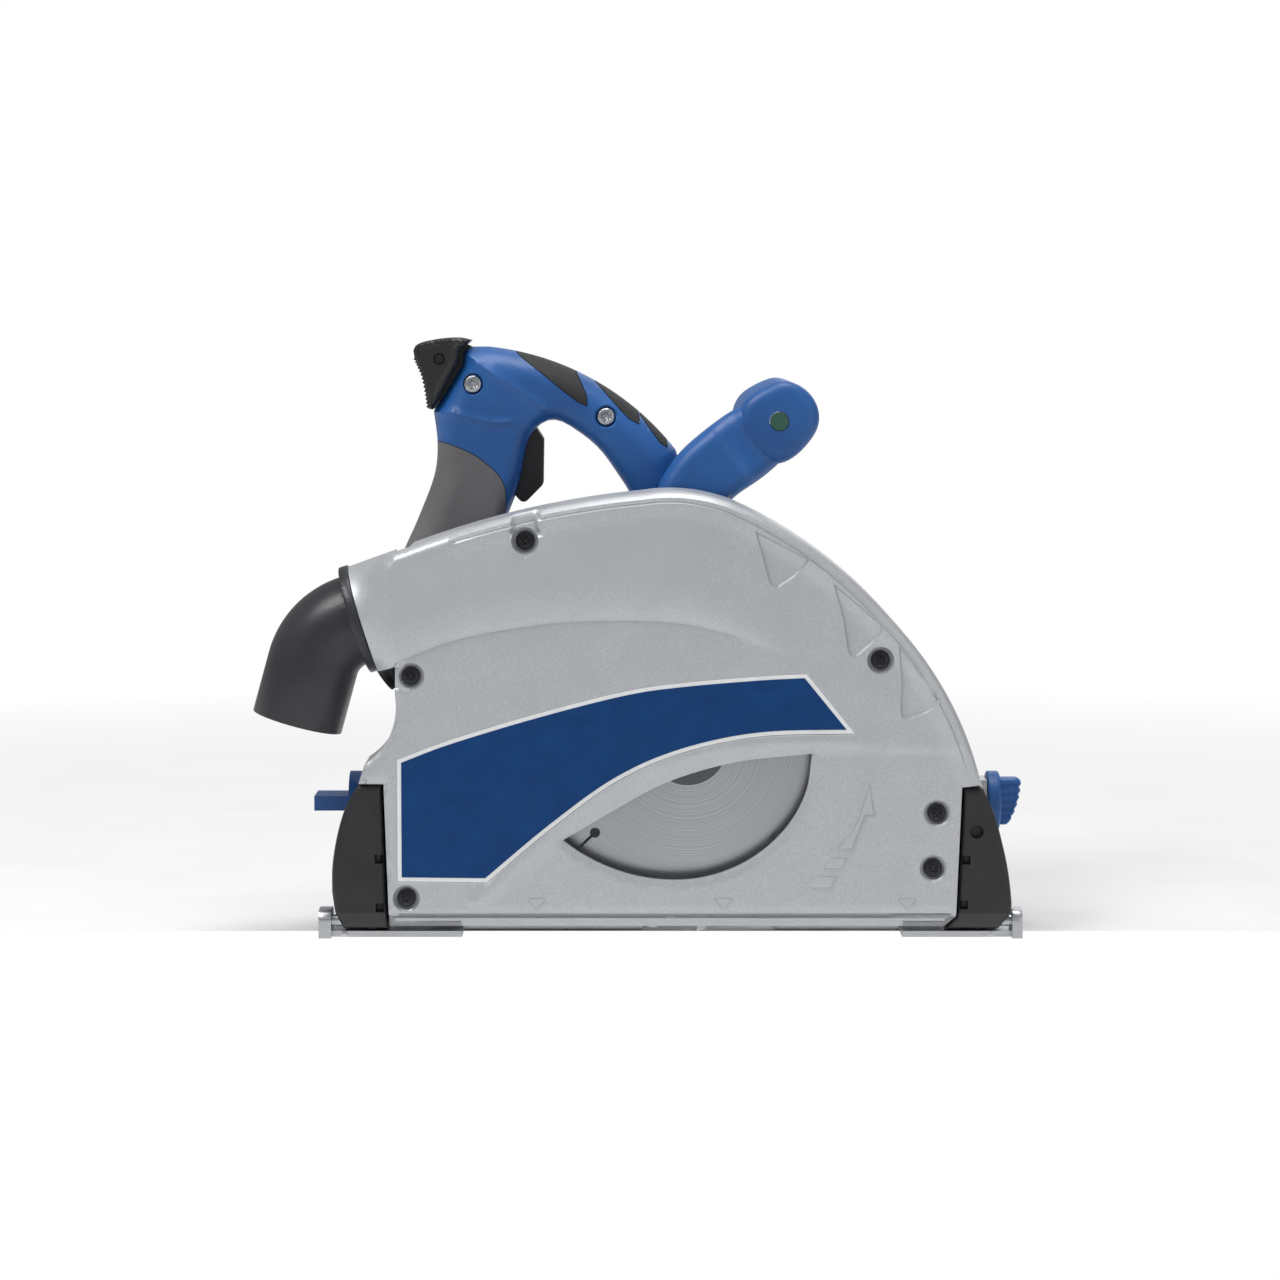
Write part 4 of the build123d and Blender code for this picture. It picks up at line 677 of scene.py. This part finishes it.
def makeEndCap(name, outline, chamferX, notches, bore, replaced):
    # a moulded cap: rounded outer edge, lower chamfer, two latch notches, at most one round recess
    look = capLook
    wide, high = look["notchHalf"]

    def face(x, z):
        y = look["face"] + edgeFall(outline, x, z, look["round"])
        y += look["chamferDepth"] * clamped((look["chamferFrom"] - z) / look["chamferRun"])
        recesses = [np.minimum(wide - np.abs(x - nx), high - np.abs(z - nz)) for nx, nz in notches]
        recesses += [look["bore"] - np.hypot(x - bx, z - bz) for bx, bz in bore]
        for inside in recesses:
            y += look["notch"] * clamped(inside / look["wall"])
        return y

    boxes = [[(x - d, z - h), (x + d, z - h), (x + d, z + h), (x - d, z + h)]
             for x, z in notches for d, h in (look["notchHalf"], look["notchFloor"])]
    made = reliefPiece(name, outline, face, flatAt(look["back"]), blackNylon,
                       rings=insets(outline, 0.4, 1.1, 2.2) + boxes + circles(bore, look["bore"], look["boreFloor"]),
                       lines=[[(x, look["chamferFrom"]) for x in chamferX]])
    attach(made, "guard")
    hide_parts(replaced)


makeEndCap("rearEndCap", rearCapOutline, (-144, -123.2), [(-125.8, 34.6), (-125.6, 13.8)], [], "rear_end_cap")
makeEndCap("frontEndCap", frontCapOutline, (120.4, 142.4), [(123.5, 34.2), (122.6, 15)], [(127.8, 46.3)],
           "front_end_cap")

knobLook = {"nearY": -49.8, "middleY": -46, "groove": 0.55, "pitch": 3.3, "waveFrom": 62.6, "waveTop": 61.5,
            "edge": 1.0, "scallops": 6, "outerX": 150.6, "topZ": 61.6, "step": 3.0, "lean": 0.10, "curve": 0.14}


def makeFrontFin():
    # the broad grip of the front bevel knob, with a scalloped outer edge and grooves across
    look = knobLook
    scallops = []
    for i in range(look["scallops"]):
        z = look["topZ"] - look["step"] * i
        x = look["outerX"] - look["lean"] * i - look["curve"] * i * i
        scallops += [(x - 0.2, z + 0.9), (x, z), (x - 0.9, z - 1.5)]
    outline = [(138.5, 64.2), (148.4, 64.2), (149.6, 63.8), (150.4, 63)] + scallops + [(144.2, 43.8), (138.5, 43.8)]

    def near(x, z):
        wave = 0.5 - 0.5 * np.cos((z - look["waveFrom"]) / look["pitch"] * 2 * math.pi)
        grooved = (awayFrom(outline, x, z) > look["edge"]) & (z < look["waveTop"])
        return look["nearY"] + edgeFall(outline, x, z, look["edge"]) + look["groove"] * wave * grooved

    made = reliefPiece("frontKnobFin", outline, near, lambda x, z: 2 * look["middleY"] - near(x, z), blueAbs, 0.8)
    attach(made, "front_knob")


makeFrontFin()
discLook = {"y": -46.0, "z": 54.0, "from": 135.6, "to": 141.2, "radius": 13.0, "edge": 1.3, "innerEdge": 0.6,
            "dish": 0.8, "dishRim": 2.6, "dishFloor": 3.4, "hub": 5.0, "steps": 56, "edgeSteps": 5}


def makeKnobDisc():
    # the round foot of the front knob: eased rim, a shallow dish and a hub under the fin
    look = discLook
    low, top, radius, floor = look["from"], look["to"], look["radius"], look["to"] - look["dish"]
    turns = [(low, 0), (low, radius - look["innerEdge"]), (low + look["innerEdge"], radius)]
    for i in range(look["edgeSteps"]):
        part = i / (look["edgeSteps"] - 1) * math.pi / 2
        turns.append((top - look["edge"] * (1 - math.sin(part)), radius - look["edge"] * (1 - math.cos(part))))
    turns += [(top, radius - look["dishRim"]), (floor, radius - look["dishFloor"]), (floor, look["hub"] + 1),
              (top, look["hub"]), (top, 0)]
    count = look["steps"]
    points = [(x, *place) for x, r in turns for place in circleAt(look["y"], look["z"], r, count)]
    faces = [(a * count + i, a * count + (i + 1) % count, (a + 1) * count + (i + 1) % count, (a + 1) * count + i)
             for a in range(len(turns) - 1) for i in range(count)]
    made = meshPiece("frontKnobDisc", np.array(points) * mm, faces, blueAbs)
    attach(made, "front_knob")
    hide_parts("front_bevel_knob")


makeKnobDisc()
print("end caps and knob fin made")

# eased edges on parts whose CAD form stays, by width in millimetres; weld in metres, angle in degrees
easedNodes = {
    0.4: "base_plate", 0.5: "dust_elbow spindle_lock_button guard_housing brush_caps cord_gland clamp_bolts",
    0.6: "depth_stop depth_stop_knob rear_guide_adjuster front_guide_adjuster", 0.8: "motor_housing gear_case",
    0.9: "rear_bevel_knob", 1.2: "trigger motor_end_cap",
}
easeRules = {"weld": 0.000002, "segments": 2, "fromAngle": 40}
for width, members in easedNodes.items():
    for name in members.split():
        weld = nodes[name].modifiers.new("joinFaces", "WELD")
        weld.merge_threshold = easeRules["weld"]
        ease = nodes[name].modifiers.new("easedEdge", "BEVEL")
        ease.width = width * mm
        ease.segments = easeRules["segments"]
        ease.limit_method = "ANGLE"
        ease.angle_limit = math.radians(easeRules["fromAngle"])
        ease.harden_normals = True
print("edges eased")

# handle: two moulded half shells, overmoulded grip and inserts
handleLook = {"seam": -15.0, "half": 18.2, "land": 1.5, "round": 12.0, "gripRound": 6.0, "gripEdge": 12.2,
              "wall": 3.2, "skin": 2.8, "ribHeight": 1.1, "ribHalf": 2.4, "proud": 0.3, "jointNear": 0.3,
              "jointFar": 0.04, "screwHole": 4.3, "screwSink": 1.0, "screwSlope": 0.9, "screwRing": 5.2,
              "triggerFloor": -24.0}

handleOutline = (
    arcThrough((44, 213), (72.5, 175), (84, 128), 40) + [(84, 128), (76, 104), (40, 74), (34.8, 74)]
    + arcThrough((34.2, 74.6), (6, 87.3), (-22.2, 74.6), 20) + [(-22.7, 74), (-34, 74)]
    + smoothLine([(-58, 112), (-60, 125), (-59, 138), (-53, 150.5), (-42, 160.5), (-25, 170.5), (-8.3, 181.5),
                  (1, 192), (8, 204.3)])
    + [(12.5, 206.3), (29.8, 213.6), (33.6, 217.6), (37, 218)])
fingerOpening = rounded([(-30, 108), (-34, 122), (-10, 137.5), (20.8, 157), (36, 172), (50, 172), (58, 150),
                         (57, 120), (42, 102), (-20, 102)], 9)
gripZone = [(-66, 126)] + smoothLine([(-36, 118), (-4, 139), (14, 158), (13.5, 174), (7, 187), (-1.5, 196.5)]) + [
    (-10, 205), (-75, 175)]
insertZones = [
    smoothLine([(52.6, 204), (53.6, 199), (56.3, 190), (59.2, 179), (62, 169.8)]) + smoothLine(
        [(64.2, 166.4), (66.8, 170.5), (68.2, 177), (69.2, 182.5)]) + [(80, 190), (66, 208)],
    smoothLine([(72.9, 174), (73.6, 167), (74.5, 159), (75.4, 151.5)]) + smoothLine(
        [(77.6, 146.6), (80, 149.5), (81, 153)]) + [(90, 156), (84, 178)],
    smoothLine([(80.3, 150), (80.3, 143), (80.3, 135)]) + smoothLine([(81.6, 131), (83, 133), (84.5, 137)]) + [
        (92, 140), (88, 152)],
]
handleRibs = [smoothLine([(34.8, 216.5), (38.9, 203.5), (43, 193), (46.6, 183), (48.2, 176.5)]),
              smoothLine([(8.8, 203.2), (13, 200.5), (17.5, 196), (22, 190.5), (27.5, 184.5), (34, 180.5)])]
handleScrews = [(29.5, 203.5), (68, 158), (70, 116), (-46, 118), (-40, 150)]
triggerRoom = [(9, 142), (43, 164), (38, 190), (6, 168)]


def nearHandleFace(x, z):
    look = handleLook
    outer = look["seam"] - look["land"] - (look["half"] - look["land"]) * quarterRound(
        awayFrom(handleOutline, x, z), look["round"])
    opening = look["seam"] - look["gripEdge"] - (look["half"] - look["gripEdge"]) * quarterRound(
        awayFrom(fingerOpening, x, z), look["gripRound"])
    face = np.maximum(outer, opening)
    for rib in handleRibs:
        ridge = clamped(1 - awayFrom(rib, x, z, False) / look["ribHalf"])
        face -= look["ribHeight"] * ridge * ridge * (3 - 2 * ridge)
    for sx, sz in handleScrews:
        away = np.hypot(x - sx, z - sz) - look["screwHole"]
        face += look["screwSink"] * (1 - clamped(away / look["screwSlope"]))
    return face


def nearHandleBack(x, z):
    look = handleLook
    edge = np.minimum(awayFrom(handleOutline, x, z), awayFrom(fingerOpening, x, z))
    inner = np.minimum(look["seam"], nearHandleFace(x, z) + look["skin"])
    back = np.where(edge < look["wall"], look["seam"], inner)
    return np.where(within(triggerRoom, x, z), np.minimum(back, look["triggerFloor"]), back)


def handlePart(name, side, finish, zone=None, holes=()):
    # side -1 is the near half and the far one mirrors it about the seam; a pad fills a zone and stands a little proud
    look = handleLook

    def near(x, z):
        return nearHandleFace(x, z) - (look["proud"] if zone else 0)

    front = near if side < 0 else lambda x, z: 2 * look["seam"] - nearHandleBack(x, z)
    back = nearHandleBack if side < 0 else lambda x, z: 2 * look["seam"] - near(x, z)
    rings = insets(handleOutline, 0.7, 2.2, 4.6, 8) + insets(fingerOpening, -0.9, -2.6)
    rings += circles(handleScrews, look["screwRing"])
    screwHoles = circles(handleScrews, look["screwHole"]) if side < 0 else []
    made = reliefPiece(name, handleOutline, front, back, finish, turned=True, zone=zone, rings=rings,
                       holes=[fingerOpening, *holes, *screwHoles], lines=handleRibs)
    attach(made, "head")
    return made


for sideName, side in (("Near", -1), ("Far", 1)):
    shell = handlePart("handleShell" + sideName, side, blueAbs, holes=[gripZone, *insertZones])
    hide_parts("handle_shell_" + sideName.lower())
    inset = [inward(path, handleLook["joint" + sideName]) for path in (gripZone, *insertZones)]
    grip = handlePart("rearGripSkin" + sideName, side, greyRubber, inset[0])
    pads = [handlePart("gripInsert%s%d" % (sideName, i + 1), side, blackRubber, zone)
            for i, zone in enumerate(inset[1:])]
    if side < 0:
        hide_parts("rear_grip_skin")
        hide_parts("front_grip_inserts")
print("handle shells made")

screwLook = {"radius": 3.9, "depth": 1.2, "dome": 0.5, "rim": 0.8, "cross": 0.55, "crossReach": 2.1, "crossDepth": 0.9,
             "crossWall": 0.3, "crossEase": 0.25, "sides": 30, "spacing": 0.42, "handleY": -32.9, "coverY": -89.95}


def screwHead(name, x0, z0, face, body, finish, turned):
    # a domed head with a cross recess, set just in front of the plain one
    look = screwLook
    radius = look["radius"]

    def near(x, z):
        dx, dz = x - x0, z - z0
        away = np.hypot(dx, dz)
        rimDrop = look["rim"] * (1 - quarterRound(radius - away, look["rim"]))
        dome = look["dome"] * (1 - (away / radius) ** 2)
        across = np.minimum(np.abs(dx + dz), np.abs(dx - dz)) / math.sqrt(2)
        cut = clamped((look["cross"] + look["crossEase"] - across) / look["crossWall"])
        cut *= clamped((look["crossReach"] - away) / look["crossWall"])
        return face - dome + rimDrop + look["crossDepth"] * cut

    made = reliefPiece(name, circleAt(x0, z0, radius, look["sides"]), near, flatAt(face + look["depth"]), finish,
                       look["spacing"], turned=turned)
    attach(made, body)
    return made


heads = [screwHead("handleScrewHead%d" % (i + 1), x, z, screwLook["handleY"], "head", zincSteel, True)
         for i, (x, z) in enumerate(handleScrews)]
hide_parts("handle_screws")
for i, (x, z) in enumerate(screwPlaces):
    screwHead("coverScrewHead%d" % (i + 1), x, z, screwLook["coverY"], "guard", blackOxide, False)

leverLook = {"near": -30.2, "middle": -15, "edge": 1.4, "rim": 2.3, "rimFall": 0.7, "sunk": 0.7, "toothDepth": 0.75,
             "toothRise": 0.3, "teeth": 10, "pinX": 24, "pinZ": 221, "pin": 0.5, "pinRadius": 2.0, "pinFoot": 2.5}
tongueLook = {"near": -21.5, "far": -8.5, "round": 2}


def makeLockOffHead():
    # the lock-off head: a serrated thumb face, a raised rim and the round end of its pin
    look = leverLook
    thumb = resampled(smoothLine([(7.4, 206.4), (10.6, 212.4), (13.6, 219), (15, 225), (15.6, 228)]), 0.5, False)
    step = max(1, len(thumb) // (2 * look["teeth"]))
    teeth = [(x - look["toothDepth"] * (i % 2), z + look["toothRise"] * (i % 2))
             for i, (x, z) in enumerate(thumb[::step])]
    outline = ([(8.4, 205)] + teeth
               + smoothLine([(17, 230.6), (19.4, 231.6), (23, 230.9), (30, 227.6), (36, 223.6), (39.6, 219.6)])
               + [(33.4, 218.9), (29.4, 214.9), (12.1, 206.5)])
    smooth = [(8.2, 207.4)] + smoothLine([(11.2, 212.8), (14.2, 219), (15.6, 225), (16.2, 229)]) + outline[-12:]

    def face(x, z):
        sink = look["sunk"] * easeStep(awayFrom(outline, x, z), look["rim"], look["rim"] + look["rimFall"])
        fromPin = np.hypot(x - look["pinX"], z - look["pinZ"])
        pin = look["pin"] * (1 - easeStep(fromPin, look["pinRadius"], look["pinFoot"]))
        return look["near"] + edgeFall(outline, x, z, look["edge"]) + sink + pin

    made = reliefPiece("lockOffHead", outline, face, lambda x, z: 2 * look["middle"] - face(x, z), blackNylon, 1.1,
                       turned=True, rings=insets(smooth, 2.6, 3.3)
                       + circles([(look["pinX"], look["pinZ"])], look["pinRadius"], look["pinFoot"]))
    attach(made, "lock_off")
    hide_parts("lock_off_lever")


makeLockOffHead()
tonguePath = rounded([(9.5, 203), (13.5, 207), (18, 221), (27, 223), (37.5, 219.2), (39, 214), (30, 206)],
                     tongueLook["round"])
tongue = reliefPiece("lockOffTongue", tonguePath, flatAt(tongueLook["near"]), flatAt(tongueLook["far"]), blackNylon,
                     3.0, turned=True)
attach(tongue, "head")

# front grip: an egg-shaped bar on a blended arm
gripLook = {"x": 127.8, "z": 112.7, "near": -48.0, "far": 62.0, "nearRound": 5.0, "farRound": 8.0, "plugHole": 4.2,
            "armNear": -55.6, "armFar": -33.4, "armRound": 6.5, "armBackRound": 2.5, "armStep": 0.6,
            "armBlend": (101, 115), "armCorner": 7}


def makeFrontGrip():
    look = gripLook
    egg = smoothLine([(-3.2, 16.2), (9.6, 14), (15.5, 8.5), (17.8, 0.6), (16, -7.3), (10.2, -13.1), (-0.7, -16.2),
                      (-9.5, -15.4), (-15.6, -10.3), (-17.7, -1.8), (-16.3, 7.3), (-11.3, 13.5)], True, 6)
    egg = [(look["x"] + x, look["z"] + z) for x, z in egg]

    bar = reliefPiece("frontGripBar", egg, lambda x, z: look["near"] + edgeFall(egg, x, z, look["nearRound"]),
                      lambda x, z: look["far"] - edgeFall(egg, x, z, look["farRound"]), blueAbs, 2.2, turned=True,
                      holes=[circleAt(look["x"], look["z"], look["plugHole"])], rings=insets(egg, 0.5, 1.4, 3, 5, 8))
    arm = rounded([(64, 118), (74, 123.5), (86, 127.3), (100, 128.4), (114, 128.4), (124, 126), (124, 99),
                   (112, 97), (92, 98.2), (58, 88.2)], look["armCorner"])

    def armFace(x, z):
        flat = look["near"] + look["armStep"] + (
            look["armNear"] - look["near"] - look["armStep"]) * (1 - easeStep(x, *look["armBlend"]))
        return flat + edgeFall(arm, x, z, look["armRound"])

    def armBack(x, z):
        return look["armFar"] - edgeFall(arm, x, z, look["armBackRound"])

    body = reliefPiece("frontGripArm", arm, armFace, armBack, blueAbs, turned=True, rings=insets(arm, 0.6, 2, 4.2))
    for made in (bar, body):
        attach(made, "head")
    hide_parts("front_grip")


makeFrontGrip()
print("lock-off head and front grip made")

# camera, stage and light; places in millimetres, lamps in metres
viewSetup = {"aim": (-15, -90, 128), "distance": 1550, "elevation": 5, "widthAtAim": 540, "sensor": 36, "clipEnd": 30}


def makeCamera():
    look = viewSetup
    tilt = math.radians(look["elevation"])
    aim = Vector(look["aim"]) * mm
    bpy.ops.object.camera_add(
        location=aim + Vector((0, -math.cos(tilt), math.sin(tilt))) * (look["distance"] * mm),
        rotation=(math.pi / 2 - tilt, 0, 0),
    )
    camera = bpy.context.object
    camera.data.sensor_width = look["sensor"]
    camera.data.lens = look["sensor"] * look["distance"] / look["widthAtAim"]
    camera.data.clip_end = look["clipEnd"]
    bpy.context.scene.camera = camera


stageSetup = {"edgeY": -66, "floorZ": -95, "topZ": -0.05, "whiteBelow": -0.08, "halfWidth": 6000, "depth": 9000,
              "shadowReach": 0.35, "whiteFrom": 1.0, "rough": 0.85, "mottle": 60}


def makeStage():
    # a pale floor that steps down just behind the blade, so the plunged blade has room and stays in view
    look = stageSetup
    plain, tree, shader = newMaterial("palePaintedFloor", Roughness=look["rough"])
    tree.links.new(toneOf(tree, grainOf(tree, look["mottle"]), "#F6F6F6", "#FAFAFA"), shader.inputs["Base Color"])
    # away from the object the floor shows as plain white; near it the shadow stays
    place = addNode(tree, "TexCoord")
    reach = addNode(tree, "VectorMath", {0: place.outputs["Object"]}, operation="LENGTH")
    faded = spread(tree, reach.outputs["Value"], 0, 1, look["shadowReach"], look["whiteFrom"])
    ray = addNode(tree, "LightPath")
    height = addNode(tree, "SeparateXYZ", {0: place.outputs["Object"]}).outputs["Z"]
    below = addNode(tree, "Math", {0: height, 1: look["whiteBelow"] * mm}, operation="LESS_THAN")
    either = addNode(tree, "Math", {0: faded, 1: below.outputs[0]}, operation="MAXIMUM")
    seen = addNode(tree, "Math", {0: either.outputs[0], 1: ray.outputs["Is Camera Ray"]}, operation="MULTIPLY")
    glow = addNode(tree, "Emission", {"Color": linearOf("#FFFFFF"), "Strength": 1.0})
    mixed = addNode(tree, "MixShader", {0: seen.outputs[0], 1: shader.outputs[0], 2: glow.outputs[0]})
    tree.links.new(mixed.outputs[0], tree.nodes["Material Output"].inputs["Surface"])
    wide, edge, low, top, far = (look[key] * mm for key in ("halfWidth", "edgeY", "floorZ", "topZ", "depth"))
    profile = [(-far, low), (edge, low), (edge, top), (far, top)]
    points = [(side * wide, y, z) for side in (-1, 1) for y, z in profile]
    faces = [(i, i + 1, i + 5, i + 4) for i in range(3)]
    mesh = bpy.data.meshes.new("steppedFloor")
    mesh.from_pydata(points, [], faces)
    mesh.materials.append(plain)
    floor = bpy.data.objects.new("steppedFloor", mesh)
    bpy.context.scene.collection.objects.link(floor)


lampSetup = {
    "key": {"at": (-0.9, -0.7, 1.5), "size": 0.6, "power": 13.0},
    "fill": {"at": (1.2, -1.2, 0.5), "size": 1.2, "power": 2.5},
    "top": {"at": (0.1, 0.0, 1.5), "size": 0.7, "power": 9.0},
    "back": {"at": (0.6, 1.5, 0.9), "size": 1.2, "power": 4.0},
}
worldSetup = {"lit": 0.34, "seen": 1.0, "lampAim": (0, -0.05, 0.1)}


def makeLights():
    world = bpy.data.worlds.new("paleStudio")
    bpy.context.scene.world = world
    world.use_nodes = True
    tree = world.node_tree
    tree.nodes.clear()
    ray = addNode(tree, "LightPath")
    seen = addNode(tree, "Math", {0: ray.outputs["Is Camera Ray"], 1: ray.outputs["Is Transmission Ray"]},
                   operation="MAXIMUM")
    lit = addNode(tree, "Background", {"Color": linearOf("#FFFFFF"), "Strength": worldSetup["lit"]})
    white = addNode(tree, "Background", {"Color": linearOf("#FFFFFF"), "Strength": worldSetup["seen"]})
    mixed = addNode(tree, "MixShader", {0: seen.outputs[0], 1: lit.outputs[0], 2: white.outputs[0]})
    addNode(tree, "OutputWorld", {"Surface": mixed.outputs[0]})
    for name, lamp in lampSetup.items():
        place = Vector(lamp["at"])
        aim = (Vector(worldSetup["lampAim"]) - place).to_track_quat("-Z", "Y").to_euler()
        bpy.ops.object.light_add(type="AREA", location=place, rotation=aim)
        made = bpy.context.object
        made.name = name + "Softbox"
        made.data.size = lamp["size"]
        made.data.energy = lamp["power"]


makeCamera()
makeStage()
makeLights()
bpy.context.scene.view_settings.view_transform = "Standard"
print("camera, stage and light made")
